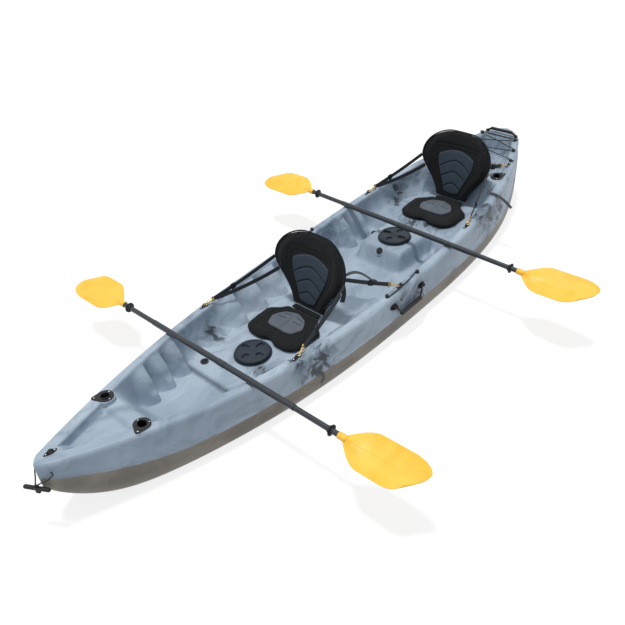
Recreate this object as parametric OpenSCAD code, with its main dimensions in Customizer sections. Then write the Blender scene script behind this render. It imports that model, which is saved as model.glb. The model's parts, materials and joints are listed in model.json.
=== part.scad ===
// Tandem sit-on-top kayak with two folding seats, two paddles and its deck fittings.
// X runs forward to the bow, Y to port, Z up. The origin is on the keel, half way along the hull.

/* [Hull] */
// length of the hull over all
hull_length = 3700; // [3300:10:4200]
// greatest beam, at the seam
hull_beam = 860; // [780:5:940]
// how far the gunwale stands inside the seam
tumblehome = 20; // [10:1:35]
// height of the gunwale at the bow
sheer_bow = 358; // [330:1:420]
// height of the gunwale amidships
sheer_mid = 265; // [245:1:300]
// height of the gunwale at the stern
sheer_stern = 423; // [390:1:470]
// height of the seam amidships
seam_height = 130; // [110:1:150]
// thickness of the moulded shell
shell_wall = 4; // [3:0.5:7]
// width of the gunwale top
gunwale_width = 52; // [44:1:64]

/* [Wells] */
// height of the foot well floors
footwell_floor = 100; // [85:1:110]
// height of the floor under the front seat and hatch
front_floor = 113; // [105:1:125]
// height of the floor under the rear seat
rear_floor = 165; // [150:1:180]
// height of the raised platform of the rear hatch
console_height = 200; // [188:1:215]
// depth of the recess in the bow deck
recess_depth = 48; // [30:1:60]
// depth of the tank well in the stern deck
tank_depth = 95; // [70:1:120]
// how far the foot steps stand out of the side walls
step_depth = 36; // [20:1:44]

/* [Stations from midships] */
// front hatch
front_hatch_x = 662; // [640:1:690]
// rear hatch
rear_hatch_x = -553; // [-580:1:-530]
// fold line of the front seat
front_fold_x = 260; // [230:1:290]
// fold line of the rear seat
rear_fold_x = -1135; // [-1160:1:-1110]
// front rod holders
front_rod_x = 1420; // [1400:1:1440]
// rear rod holders
rear_rod_x = -1312; // [-1330:1:-1300]
// middle of the side handles
side_handle_x = -106; // [-160:1:-60]
// front paddle where it crosses the middle line
front_paddle_x = 935; // [900:1:960]
// rear paddle where it crosses the middle line
rear_paddle_x = -549; // [-570:1:-540]

/* [Hatches] */
// outside diameter of the hatch ring
hatch_d = 202; // [180:1:220]
// height of the ring flange
ring_height = 5; // [4:0.5:8]
// height of the lid
lid_height = 13; // [10:0.5:18]
// wall of the tub
tub_wall = 2.5; // [2:0.5:4]
// depth of the front tub
front_tub_depth = 84; // [60:1:90]
// depth of the rear tub
rear_tub_depth = 150; // [100:1:165]
// section diameter of the seal
seal_d = 2.8; // [2:0.1:4]

/* [Rod holders] */
// bore of the rod tube
rod_bore = 42; // [38:1:46]
// wall of the rod tube
rod_wall = 3; // [2:0.5:4]
// length of the rod tube
rod_length = 140; // [110:1:160]
// lean of the rod tube to the outside, in degrees
rod_lean = 12; // [5:1:16]
// thickness of the rod holder flange
rod_flange = 4; // [3:0.5:6]

/* [Seats] */
// length of the seat cushion
seat_length = 300; // [270:5:330]
// greatest half breadth of the seat cushion
seat_half = 200; // [180:1:212]
// thickness of the seat cushion in its middle
seat_thick = 37; // [30:1:44]
// height of the backrest above its fold
back_height = 420; // [390:5:450]
// greatest half breadth of the backrest
back_half = 250; // [230:1:270]
// how far the top of the backrest leans behind its foot
back_lean = 120; // [120:1:190]
// thickness of the backrest in its middle
back_thick = 34; // [28:1:40]
// thickness of the ribbed inserts
insert_thick = 6; // [4:0.5:8]
// width of the webbing
web_w = 25; // [20:1:30]
// thickness of the webbing
web_t = 1.8; // [1.4:0.1:2.4]

/* [Paddles] */
// length over all of a paddle
paddle_length = 2370; // [2200:10:2500]
// diameter of the shaft
shaft_d = 30; // [28:0.5:32]
// diameter of the thinner shaft ends
shaft_end_d = 26; // [24:0.5:27]
// length of a blade
blade_length = 440; // [400:5:470]
// breadth of a blade
blade_w = 184; // [160:1:210]
// thickness of a blade at its ridge
blade_t = 9; // [7:0.5:12]
// how far the paddles lie to port of the middle line
paddle_offset = 80; // [60:1:100]
// lean of the blades to the bow, in degrees
blade_lean = 18; // [0:1:30]
// turn of the rear paddle in plan, in degrees
rear_paddle_turn = -1.7; // [-3:0.1:0]

/* [Fittings] */
// diameter of the scupper holes
scupper_d = 35; // [30:0.5:38]
// diameter of the grip of the side handles
grip_d = 26; // [22:1:30]
// spread of the side handle's two ends
handle_span = 245; // [220:1:270]
// diameter of the bungee cord
bungee_d = 6; // [5:0.5:8]
// diameter of the toggle grip
toggle_d = 20; // [16:1:24]
// length of the toggle grip
toggle_length = 126; // [110:1:140]

/* [Build] */
// sub-part to draw

/* [Hidden] */
$fn = 48;

half_l = hull_length / 2;
half_crest = hull_beam / 2 - tumblehome;
fit_gap = 0.08;

// stations are given for a hull of 3.7 m and move with its length
function at(s) = s * hull_length / 3700;
function unit(t) = min(1, max(0, t));
function ease(t) = let(c = unit(t)) c * c * (3 - 2 * c);
function ramp(x, x0, x1, a, b) = a + (b - a) * ease((x - x0) / (x1 - x0));
function flip(pts) = [for (p = pts) [p[0], -p[1], p[2]]];
function sorted(v) = len(v) < 2 ? v :
  let(m = v[floor(len(v) / 2)])
  concat(sorted([for (a = v) if (a < m - 0.5) a]), [m], sorted([for (a = v) if (a > m + 0.5) a]));

// lines of the hull: sheer, gunwale edge, seam and keel over the length
function sheer(x) = let(u = x / half_l)
  sheer_mid + (sheer_bow - sheer_stern) / 2 * u + ((sheer_bow + sheer_stern) / 2 - sheer_mid) * u * u;
function sheer_slope(x) = let(u = x / half_l)
  ((sheer_bow - sheer_stern) / 2 + (sheer_bow + sheer_stern - 2 * sheer_mid) * u) / half_l;
widest = at(-100);
bow_round = at(45);
stern_round = at(70);
function end_round(x) =
  let(r = x > 0 ? bow_round : stern_round, d = (abs(x) - (half_l - r)) / r)
  d <= 0 ? 1 : max(0.12, sqrt(max(0, 1 - d * d)));
nose_drop = 24;
function deck_top(x) = sheer(x) - (x > 0 ? nose_drop * (1 - end_round(x)) : 0);
function crest(x) = end_round(x) * half_crest * (x > widest
  ? 1 - 0.93 * pow((x - widest) / (half_l - widest), 2.3)
  : 1 - 0.79 * pow((widest - x) / (half_l + widest), 3.12));
function seam_b(x) = crest(x) + tumblehome * end_round(x) * (1 - 0.6 * pow(abs(x) / half_l, 4));
seam_run = at(1150);
function tip(x, run, n) = pow(max(0, (x - run) / (half_l - run)), n);
function seam_z(x) = seam_height + (sheer_bow - 72 - seam_height) * tip(x, seam_run, 2)
  + (sheer_stern - 78 - seam_height) * tip(-x, seam_run, 2);
stem_bow = at(1300);
stem_stern = at(1450);
function keel(x) = (sheer_bow - 143) * tip(x, stem_bow, 3.2) + (sheer_stern - 123) * tip(-x, stem_stern, 4);
function flat_b(x) = crest(x) * (0.82 - 0.5 * pow(abs(x) / half_l, 3));

// wells: floor height along the middle and beside the rear platform
recess_fore = at(1745);
recess_aft = at(1470);
ridge_fore = at(1432);
ridge_aft = at(1392);
cockpit_end = at(-1290);
tank_fore = at(-1338);
tank_aft = at(-1750);
ridge_drop = 4;
bow_ridge_drop = 20;
bow_slope = 150;
ring_r = hatch_d / 2;
hatch_land = ring_r + 20;
seat_gap = 0.3;
bead_d = 12;
seat_start = bead_d / 2 + seat_gap;
seat_notch = 22;
seat_clear = 12;
front_hatch = max(at(front_hatch_x),
  at(front_fold_x) + seat_start + seat_length - seat_notch + seat_clear + ring_r);
rear_hatch = at(rear_hatch_x);
hatch_step = front_hatch + hatch_land;
console_half = ring_r + 34;
console_run = 45;
console_fore = rear_hatch + hatch_land;
console_aft = rear_hatch - hatch_land;
function mid_floor(x) =
  x > at(1610) ? ramp(x, recess_fore - 80, recess_fore, sheer(x) - recess_depth, deck_top(x) + 3)
  : x > at(1410) ? ramp(x, ridge_fore, recess_aft, sheer(x) - bow_ridge_drop, sheer(x) - recess_depth)
  : x > at(1000) ? ramp(x, ridge_aft - bow_slope, ridge_aft, footwell_floor, sheer(x) - bow_ridge_drop)
  : x > at(450) ? ramp(x, hatch_step, hatch_step + 30, front_floor, footwell_floor)
  : x > at(-100) ? ramp(x, at(60), at(130), footwell_floor, front_floor)
  : x > rear_hatch ? ramp(x, console_fore, console_fore + 90, console_height, footwell_floor)
  : x > at(-1000) ? ramp(x, console_aft - 80, console_aft, rear_floor, console_height)
  : x > at(-1315) ? ramp(x, cockpit_end, cockpit_end + 80, sheer(x) - ridge_drop, rear_floor)
  : x > at(-1560) ? ramp(x, tank_fore - 60, tank_fore, sheer(x) - tank_depth, sheer(x) - ridge_drop)
  : ramp(x, tank_aft, tank_aft + 60, sheer(x) + 3, sheer(x) - tank_depth);
function side_floor(x) = x > rear_hatch + 300 || x < at(-1000) ? mid_floor(x)
  : ramp(x, console_aft - 80, console_aft, rear_floor, footwell_floor);
function well_edge(x) = max(crest(x) - gunwale_width - 14 * ease((x - at(1300)) / at(150)), crest(x) * 0.25);
function bowed(x, y) = x < at(-1000) && x > at(-1315)
  ? max(at(-1315), x - 60 * pow(y / well_edge(x), 2)) : x;
function floor_z(x, y, inset = 0) =
  let(b = bowed(x, y), s = side_floor(b))
  s + (mid_floor(b) - s) * ease((console_half - inset + console_run - abs(y)) / console_run);

// foot steps in the side walls: first aft edge, pitch, count
step_rows = [[at(930), at(112), 3], [at(135), at(165), 3], [at(-625), at(130), 2]];
function step1(d, p) = d <= 0 || d >= p ? 0
  : d < 0.1 * p ? d / (0.1 * p) : d < 0.45 * p ? 1 : unit((0.95 * p - d) / (0.5 * p));
function step_out(x) = max([for (r = step_rows, i = [0 : r[2] - 1]) step1(x - r[0] - i * r[1], r[1])]);
step_edges = [for (r = step_rows, i = [0 : r[2] - 1], e = [0, 0.1, 0.45, 0.95]) r[0] + (i + e) * r[1]];
function floor_edge(x, k = 1) = well_edge(x) * 0.76 - k * step_depth * step_out(x);

// one side of a cross section from keel to deck middle
function bilge(x, a, t = 0) =
  let(y0 = flat_b(x) - t / 3, y1 = seam_b(x) - t, z0 = keel(x) + t, z1 = seam_z(x))
  [x, y0 + (y1 - y0) * pow(sin(a), 0.58), z0 + (z1 - z0) * (1 - pow(cos(a), 0.58))];
function wall_pt(x, s, k) =
  let(wi = well_edge(x), wf = floor_edge(x, 0), z0 = deck_top(x), z1 = floor_z(x, wf))
  [x, wi - (wi - wf) * (1 - cos(90 * s)) - k * step_depth * step_out(x) * ease(s / 0.45),
    z0 - (z0 - z1) * sin(90 * s)];
function floor_rows(x, k) = let(w = floor_edge(x, k))
  [min(0.85 * w, console_half + console_run), min(0.62 * w, console_half), min(0.3 * w, 62)];
function half_section(x) =
  let(e = end_round(x), c = crest(x), b = seam_b(x), zs = deck_top(x), zc = seam_z(x), wi = well_edge(x))
  concat(
    [[x, flat_b(x), keel(x)]],
    [for (a = [30, 50, 68, 80]) bilge(x, a)],
    [[x, b - 4 * e, zc - 9], [x, b, zc], [x, b - 5 * e, zc + 9],
     [x, c + 5 * e, zs - 26], [x, c, zs - 8], [x, c - 8 * e, zs], [x, wi + 5 * e, zs]],
    [for (s = [0.1, 0.3, 0.52, 0.76, 1]) wall_pt(x, s, 1)],
    [for (y = floor_rows(x, 1)) [x, y, floor_z(x, y)]],
    [[x, 0, floor_z(x, 0)]]);
// lowest deck within a short run, so that steep faces keep their wall
function low_floor(x, y) = min([for (d = [-2 : 2]) floor_z(x + d * shell_wall, y, shell_wall)]) - shell_wall;
function half_void(x) =
  let(t = shell_wall, c = crest(x), b = seam_b(x), zs = sheer(x), zc = seam_z(x), wi = well_edge(x),
    wf = floor_edge(x, 0), zf = low_floor(x, wf))
  concat(
    [[x, flat_b(x) - t / 3, keel(x) + t]],
    [for (a = [30, 52, 74]) bilge(x, a, t + 1)],
    [[x, b - t - 4, zc], [x, c + 4 - t, zs - 27], [x, c - 7 - t / 2, zs - t - 1], [x, wi + t + 4, zs - t - 1]],
    [for (s = [0.2, 0.5, 0.78]) [x, wi - (wi - wf) * (1 - cos(90 * s)) + t * 1.4 * cos(90 * s),
      min(zs - t - 2, zs - (zs - zf) * sin(90 * s) - t * 0.3)]],
    [[x, wf, min(zs - t - 3, zf)]],
    [for (y = floor_rows(x, 0)) [x, y, min(zs - t - 3, low_floor(x, y))]],
    [[x, 0, min(zs - t - 3, low_floor(x, 0))]]);
function full_section(h) = let(n = len(h)) concat(h, flip([for (i = [n - 2 : -1 : 0]) h[i]]));

// skin over a list of closed sections, mirrored diagonals on the two sides
module loft(rows) {
  m = len(rows[0]);
  n = len(rows);
  h = floor(m / 2);
  faces = concat(
    [for (i = [0 : n - 2], j = [0 : m - 1]) let(a = i * m + j, b = i * m + (j + 1) % m) j < h
      ? [b, a, b + m] : [b, a, a + m]],
    [for (i = [0 : n - 2], j = [0 : m - 1]) let(a = i * m + j, b = i * m + (j + 1) % m) j < h
      ? [b + m, a, a + m] : [b + m, b, a + m]],
    [[for (j = [0 : m - 1]) j]],
    [[for (j = [m - 1 : -1 : 0]) (n - 1) * m + j]]);
  polyhedron(points = [for (r = rows, p = r) p], faces = faces, convexity = 8);
}
bow_tips = [for (d = [0, 3, 9, 18, 30, 45]) half_l - d * bow_round / 45];
stern_tips = [for (d = [0, 4, 12, 26, 46, 70]) -half_l + d * stern_round / 70];
deck_marks = concat([recess_fore, recess_fore - 30, recess_fore - 80, recess_aft, ridge_fore],
  [for (k = [0, 0.2, 0.45, 0.72, 1]) ridge_aft - k * bow_slope],
  [front_hatch + hatch_land + 30, front_hatch + hatch_land, at(130), at(60)],
  [for (d = [90, 60, 30, 0]) console_fore + d], [for (d = [0, 40, 80]) console_aft - d],
  [for (d = [150, 80, 55, 28, 0]) cockpit_end + d], [for (d = [0, 30, 60]) tank_fore - d],
  [for (d = [60, 30, 0]) tank_aft + d]);
even_marks = [for (i = [-13 : 13]) at(i * 125)];
marks = sorted(concat(bow_tips, stern_tips, deck_marks, even_marks, step_edges));
void_marks = sorted(concat(deck_marks, [for (i = [-12 : 12]) at(i * 140)]));

// places on the hull
side_drop = 58;
function side_z(x) = sheer(x) - side_drop;
function side_y(x) = let(a = seam_b(x) - 5, b = crest(x) + 5, z = seam_z(x) + 9)
  a + (b - a) * (side_z(x) - z) / (sheer(x) - 26 - z);
function side_tilt(x) = atan((seam_b(x) - crest(x) - 10) / (sheer(x) - 26 - seam_z(x) - 9));
module on_deck(x, y, lift = seat_gap) {
  translate([x, y, sheer(x)]) rotate([0, -atan(sheer_slope(x)), 0]) translate([0, 0, lift]) children();
}
module both_sides() {
  children();
  mirror([0, 1, 0]) children();
}

neck_r = ring_r - 13;
neck_wall = 4;
hole_r = neck_r + 1;
neck_depth = 18;
tub_r = neck_r - neck_wall - 3;
scupper_r = scupper_d / 2;
front_scupper = [at(850), 168, footwell_floor];
rear_scupper = [at(-650), 232, footwell_floor];
tank_scupper = [at(-1550), 72, sheer(at(-1550)) - tank_depth];
front_rod = at(front_rod_x);
rear_rod = at(rear_rod_x);
front_rod_y = crest(front_rod) - 58;
rear_rod_y = crest(rear_rod) - 68;
rod_r = rod_bore / 2 + rod_wall;
tear_r = rod_r + 16;
tear_tip = 13;
tear_reach = rod_r + 24;
tear_lap = 0.1;
drain_x = console_fore + 27;
drain_z = console_height - 19;
drain_tilt = 45;
drain_r = 12.4;
toggle_hole = [half_l - at(38), 0, sheer_bow - 52];
toggle_hole_d = bungee_d + 1.2;

module teardrop(grow = 0) {
  a = acos((tear_r - tear_tip) / tear_reach);
  union() {
    circle(r = tear_r + grow);
    translate([tear_reach, 0]) circle(r = tear_tip + grow);
    polygon([(tear_r + grow - tear_lap) * [cos(a), sin(a)],
      [tear_reach, 0] + (tear_tip + grow - tear_lap) * [cos(a), sin(a)],
      [tear_reach, 0] + (tear_tip + grow - tear_lap) * [cos(a), -sin(a)],
      (tear_r + grow - tear_lap) * [cos(a), -sin(a)]]);
  }
}
module rod_places(x, y, turn, lift = seat_gap) {
  on_deck(x, y, lift) rotate([0, 0, turn]) children();
}
front_turn = 32;
rear_turn = 150;
module rod_axis(turn) {
  rotate([0, 0, -turn]) rotate([-rod_lean, 0, 0]) children();
}

// one hollow moulded shell with its lands, holes and scupper columns
module drain_place(z) {
  translate([drain_x, 0, drain_z]) rotate([0, drain_tilt, 0]) translate([0, 0, z]) children();
}
module rod_lands() {
  rod_places(front_rod, front_rod_y, front_turn, 0) translate([0, 0, -26]) linear_extrude(26) teardrop(3);
  rod_places(rear_rod, rear_rod_y, rear_turn, 0) translate([0, 0, -26]) linear_extrude(26) teardrop(3);
}
module rod_hole(turn) {
  rod_axis(turn) translate([0, 0, -rod_length - 4]) cylinder(h = rod_length + 30, r = rod_r + seat_gap);
}
scuppers = [front_scupper, rear_scupper, tank_scupper];
module hull_shell() {
  color("LightSteelBlue") difference() {
    union() {
      loft([for (x = marks) full_section(half_section(x))]);
      both_sides() rod_lands();
      drain_place(-30) cylinder(h = 30, r = 30);
    }
    difference() {
      loft([for (x = void_marks) full_section(half_void(x))]);
      both_sides() for (p = scuppers)
        translate([p[0], p[1], -1]) cylinder(h = p[2] + 2, r = scupper_r + shell_wall);
      drain_place(-36) cylinder(h = 36, r = 30);
    }
    both_sides() {
      for (p = scuppers) translate([p[0], p[1], -5]) cylinder(h = p[2] + 50, r = scupper_r);
      rod_places(front_rod, front_rod_y, front_turn) rod_hole(front_turn);
      rod_places(rear_rod, rear_rod_y, rear_turn) rod_hole(rear_turn);
    }
    translate([front_hatch, 0, front_floor - 30]) cylinder(h = 60, r = hole_r);
    translate([rear_hatch, 0, console_height - 30]) cylinder(h = 60, r = hole_r);
    drain_place(-24) cylinder(h = 60, r = drain_r);
    translate(toggle_hole) rotate([90, 0, 0]) cylinder(h = hull_beam / 4, d = toggle_hole_d, center = true);
  }
}

// hatch: ring, tub, seal and lid, drawn from the land they stand on
lip_r = neck_r - neck_wall - 0.5;
ledge_h = 3;
lip_h = 2.5;
seal_r = (lip_r + ring_r) / 2 - 3;
lid_r = ring_r - 7;
lid_z = ring_height + seal_d + 2 * seat_gap;
plug_r = lip_r - 1.5;
module hatch_ring() {
  rotate_extrude() polygon([[neck_r - neck_wall, ring_height], [ring_r - 2, ring_height],
    [ring_r, ring_height - 2], [ring_r, 0], [neck_r, 0], [neck_r, -neck_depth], [tub_r + 0.5, -neck_depth],
    [tub_r + 0.5, ledge_h - neck_depth], [neck_r - neck_wall, ledge_h - neck_depth]]);
}
module hatch_tub(depth) {
  rotate_extrude() polygon([[0, -depth], [tub_r, -depth], [tub_r, ledge_h - neck_depth],
    [lip_r, ledge_h - neck_depth], [lip_r, ledge_h + lip_h - neck_depth],
    [tub_r - tub_wall, ledge_h + lip_h - neck_depth],
    [tub_r - tub_wall, tub_wall - depth], [0, tub_wall - depth]]);
}
module hatch_seal() {
  translate([0, 0, ring_height + seat_gap + seal_d / 2]) rotate_extrude()
    translate([seal_r, 0]) circle(d = seal_d, $fn = 24);
}
module hatch_lid() {
  difference() {
    union() {
      translate([0, 0, lid_z]) rotate_extrude() polygon([[0, 0], [lid_r, 0], [lid_r, lid_height - 4],
        [lid_r - 4, lid_height], [lid_r - 12, lid_height], [lid_r - 14, lid_height - 3], [0, lid_height - 3]]);
      translate([0, 0, -6]) cylinder(h = lid_z + 7, r = plug_r);
    }
    translate([0, 0, -7]) cylinder(h = lid_z + 7, r = plug_r - 4);
    for (a = [0 : 90 : 270]) rotate([0, 0, a]) translate([lid_r * 0.48, 0, lid_z + 3]) {
      cylinder(h = lid_height, r = lid_r * 0.17);
      translate([0, -lid_r * 0.17, 0]) cube([lid_r * 0.16, lid_r * 0.34, lid_height]);
      translate([lid_r * 0.16, 0, 0]) cylinder(h = lid_height, r = lid_r * 0.17);
    }
  }
}
module front_hatch_place() { translate([front_hatch, 0, front_floor]) children(); }
module rear_hatch_place() { translate([rear_hatch, 0, console_height]) children(); }
module front_hatch_ring() { color("DimGray") front_hatch_place() hatch_ring(); }
module front_hatch_tub() { color("DarkGray") front_hatch_place() hatch_tub(front_tub_depth); }
module front_hatch_seal() { color("Black") front_hatch_place() hatch_seal(); }
module front_hatch_lid() { color("DarkSlateGray") front_hatch_place() hatch_lid(); }
module rear_hatch_ring() { color("DimGray") rear_hatch_place() hatch_ring(); }
module rear_hatch_tub() { color("DarkGray") rear_hatch_place() hatch_tub(rear_tub_depth); }
module rear_hatch_seal() { color("Black") rear_hatch_place() hatch_seal(); }
module rear_hatch_lid() { color("DarkSlateGray") rear_hatch_place() hatch_lid(); }

// rod holders, drawn from the deck land
screw_d = 7;
screw_hole = 3.6;
screw_ring = rod_r + (tear_r - rod_r) / 2;
rod_screws = [[tear_reach, 0], screw_ring * [cos(125), sin(125)], screw_ring * [cos(235), sin(235)]];
module rod_holder(turn) {
  difference() {
    union() {
      linear_extrude(rod_flange) teardrop();
      rod_axis(turn) translate([0, 0, -rod_length]) cylinder(h = rod_length + rod_flange + 1, r = rod_r);
    }
    rod_axis(turn) translate([0, 0, rod_wall - rod_length]) cylinder(h = rod_length + 30, d = rod_bore);
    for (p = rod_screws) translate([p[0], p[1], -1]) cylinder(h = rod_flange + 2, d = screw_hole, $fn = 24);
  }
}
module front_rod_holders() {
  color("Black") both_sides() rod_places(front_rod, front_rod_y, front_turn) rod_holder(front_turn);
}
module rear_rod_holders() {
  color("Black") both_sides() rod_places(rear_rod, rear_rod_y, rear_turn) rod_holder(rear_turn);
}

// eyes: plate with an arch along X, screwed to the gunwale
eye_l = 56;
eye_w = 15;
eye_h = 3.5;
eye_arch = 11;
eye_leg = 3;
eye_wire = 5;
eye_pitch = 20;
eye_in = 29;
front_seat_eyes = [at(670), at(-90)];
rear_seat_eyes = [at(-760), at(-1456)];
module half_ring(z, r, d) {
  translate([0, 0, z]) rotate([90, 0, 0]) rotate_extrude(angle = 180) translate([r, 0]) circle(d = d, $fn = 24);
}
module eye_loop() {
  half_ring(eye_h + eye_leg, eye_arch, eye_wire);
  for (s = [-1, 1]) translate([s * eye_arch, 0, eye_h - 0.5])
    cylinder(h = eye_leg + 0.5, d = eye_wire, $fn = 24);
}
module deck_eye() {
  difference() {
    linear_extrude(eye_h) union() {
      square([eye_l - eye_w, eye_w], center = true);
      for (s = [-1, 1]) translate([s * (eye_l - eye_w) / 2, 0]) circle(d = eye_w);
    }
    for (s = [-1, 1]) translate([s * eye_pitch, 0, -1]) cylinder(h = eye_h + 2, d = screw_hole, $fn = 24);
  }
  eye_loop();
}
strap_eye_x = concat(front_seat_eyes, rear_seat_eyes);
module strap_eyes() {
  color("Black") both_sides() for (x = strap_eye_x) on_deck(x, crest(x) - eye_in) deck_eye();
}
bow_eye_x = half_l - at(80);
pad_r = 47;
pad_off = 35;
module bow_eye() {
  color("Black") on_deck(bow_eye_x, 0) translate([0, 0, 3]) {
    difference() {
      linear_extrude(eye_h) intersection() {
        translate([0, -pad_off]) circle(r = pad_r);
        translate([0, pad_off]) circle(r = pad_r);
      }
      for (s = [-1, 1]) translate([s * eye_pitch, 0, -1]) cylinder(h = eye_h + 2, d = screw_hole, $fn = 24);
    }
    eye_loop();
  }
}
module screw(grip) {
  cylinder(h = 2.4, d = screw_d, $fn = 24);
  translate([0, 0, -grip]) cylinder(h = grip + 0.5, d = screw_hole - 2 * fit_gap, $fn = 24);
}
module flange_screws() {
  for (p = rod_screws) translate([p[0], p[1], rod_flange]) screw(rod_flange - 0.5);
}
module deck_screws() {
  color("Silver") {
    both_sides() {
      rod_places(front_rod, front_rod_y, front_turn) flange_screws();
      rod_places(rear_rod, rear_rod_y, rear_turn) flange_screws();
      for (x = strap_eye_x, s = [-1, 1])
        on_deck(x, crest(x) - eye_in) translate([s * eye_pitch, 0, eye_h]) screw(eye_h - 0.5);
    }
    for (s = [-1, 1]) on_deck(bow_eye_x, 0) translate([s * eye_pitch, 0, 3 + eye_h]) screw(eye_h - 0.5);
  }
}

// cord buttons and the cords round them
button_post = 10;
button_cap = 20;
button_foot = 2;
button_h = button_foot + bungee_d + 2.8;
button_in = 24;
cord_turn = button_post / 2 + bungee_d / 2 + 1.4;
keeper_turn = button_post / 2 + bungee_d / 2 + 0.4;
cord_rise = button_foot + bungee_d / 2 + 1.2;
stern_buttons = [at(-1505), at(-1620), at(-1735)];
keeper_fore = at(side_handle_x) + handle_span / 2 + 12;
keeper_aft = at(side_handle_x) - handle_span / 2 - 12;
module cord_button() {
  cylinder(h = button_foot, d = button_cap);
  cylinder(h = button_h + 1, d = button_post);
  translate([0, 0, button_h]) cylinder(h = 3, d = button_cap);
}
module cord_buttons() {
  color("Black") both_sides() {
    for (x = stern_buttons) on_deck(x, crest(x) - button_in) cord_button();
    for (x = [keeper_fore, keeper_aft]) on_deck(x, crest(x) - button_in) cord_button();
  }
}

// tubes and ribbons along a list of points
function vlen(v) = sqrt(v * v);
function norm1(v) = v / vlen(v);
function heading(p, i) = norm1(p[min(i + 1, len(p) - 1)] - p[max(i - 1, 0)]);
function ring_at(p, i, r, n, ref) =
  let(t = heading(p, i), a = norm1(cross(t, ref)), b = cross(t, a))
  [for (k = [0 : n - 1]) p[i] + r * (cos(360 * k / n) * a + sin(360 * k / n) * b)];
module tube(p, d, n = 6, ref = [0.13, 0.29, 0.95]) {
  loft([for (i = [0 : len(p) - 1]) ring_at(p, i, d / 2, n, ref)]);
}
function band_at(p, i, w, t, ref) =
  let(h = heading(p, i), a = norm1(ref - (ref * h) * h), b = cross(h, a))
  [for (c = [[1, -1], [1, 1], [-1, 1], [-1, -1]]) p[i] + c[0] * w / 2 * a + c[1] * t / 2 * b];
module ribbon(p, ref = [0, 0, 1]) {
  loft([for (i = [0 : len(p) - 1]) band_at(p, i, web_w, web_t, ref)]);
}
function on_crest(x, y_in, z) = [x, crest(x) - y_in, sheer(x) + z];

function rev(v) = [for (i = [len(v) - 1 : -1 : 0]) v[i]];
function mid_cord(x0, x1, up) = [[(x0 + x1) / 2, 0, (sheer(x0) + sheer(x1)) / 2 + cord_rise + up]];
b0 = stern_buttons[0];
b1 = stern_buttons[1];
b2 = stern_buttons[2];
function button_turn(x, side, aft) = [for (a = aft ? [-50, 0, 50] : [50, 0, -50]) let(d = cord_turn * sin(a))
  [x + d, side * (crest(x) - button_in + cord_turn * cos(a)), sheer(x + d) + cord_rise]];
stern_route = concat(
  [[b0 + 2, crest(b0) - button_in + cord_turn, sheer(b0) + cord_rise]],
  [[b0 - 8, crest(b0) - button_in + cord_turn * 0.6, sheer(b0 - 8) + cord_rise]],
  mid_cord(b0, b1, 0), button_turn(b1, -1, false), mid_cord(b1, b2, 0), button_turn(b2, 1, false),
  button_turn(b2, -1, true), mid_cord(b1, b2, bungee_d + 3), button_turn(b1, 1, true),
  mid_cord(b0, b1, bungee_d + 3),
  [[b0 - 8, -(crest(b0) - button_in + cord_turn * 0.6), sheer(b0 - 8) + cord_rise]],
  [[b0 + 2, -(crest(b0) - button_in + cord_turn), sheer(b0) + cord_rise]]);
module stern_bungee() { color("Black") tube(stern_route, bungee_d); }
module keeper() {
  for (x = [keeper_fore, keeper_aft]) on_deck(x, crest(x) - button_in) translate([0, 0, cord_rise])
    rotate_extrude() translate([keeper_turn, 0]) circle(d = bungee_d, $fn = 24);
  n = 8;
  run = keeper_fore - keeper_aft - 2 * keeper_turn;
  tube([for (i = [0 : n]) let(x = keeper_aft + keeper_turn + run * i / n)
    on_crest(x, button_in - 9 * sin(180 * i / n), cord_rise + seat_gap)], bungee_d);
}
module port_keeper() { color("Black") keeper(); }
module starboard_keeper() { color("Black") mirror([0, 1, 0]) keeper(); }

// stern carry handle: grip on two legs
stern_handle_x = -half_l + at(75);
stern_grip_d = 20;
stern_grip_rise = 27;
stern_foot_y = crest(stern_handle_x) - 20;
stern_grip_half = stern_foot_y - 34;
module rod_between(a, b, d) {
  v = b - a;
  translate(a) rotate([0, acos(v[2] / vlen(v)), atan2(v[1], v[0])]) cylinder(h = vlen(v), d = d);
}
module stern_handle() {
  color("Black") on_deck(stern_handle_x, 0) {
    translate([0, -stern_grip_half, stern_grip_rise]) rotate([-90, 0, 0])
      cylinder(h = 2 * stern_grip_half, d = stern_grip_d);
    for (s = [-1, 1]) {
      translate([0, s * stern_grip_half, stern_grip_rise]) sphere(d = stern_grip_d);
      rod_between([0, s * stern_grip_half, stern_grip_rise], [0, s * stern_foot_y, 7], 13);
      translate([0, s * stern_foot_y, 0]) cylinder(h = 9, d = 24);
    }
  }
}

// bow toggle on its cord loop
toggle_c = [half_l + 24, 0, toggle_hole[2] - 76];
toggle_turn = 29;
toggle_bore = 2 * bungee_d + 2;
toggle_knot = 18;
module bow_toggle() {
  color("Black") translate(toggle_c) rotate([0, 0, toggle_turn]) difference() {
    union() {
      rotate([90, 0, 0]) cylinder(h = toggle_length - toggle_d, d = toggle_d, center = true);
      for (s = [-1, 1]) translate([0, s * (toggle_length - toggle_d) / 2, 0]) sphere(d = toggle_d);
      translate([0, 0, -toggle_d / 2 - 2]) cylinder(h = toggle_d + 4, d = toggle_bore + 7);
    }
    translate([0, 0, -toggle_d]) cylinder(h = 2 * toggle_d, d = toggle_bore);
  }
}
leg = bungee_d / 2 + 0.4;
toggle_wide = seam_b(toggle_hole[0]) + bungee_d / 2 + 1.4;
toggle_top = toggle_c + [0, leg, toggle_d / 2 + 6];
toggle_drop = [toggle_c[0] - toggle_hole[0], 0, toggle_top[2] - toggle_hole[2]];
toggle_bend = [[0.87, 0.16], [0.7, 0.38], [0.55, 0.64], [0.35, 0.9], [0.17, 1], [0, 1]];
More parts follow.
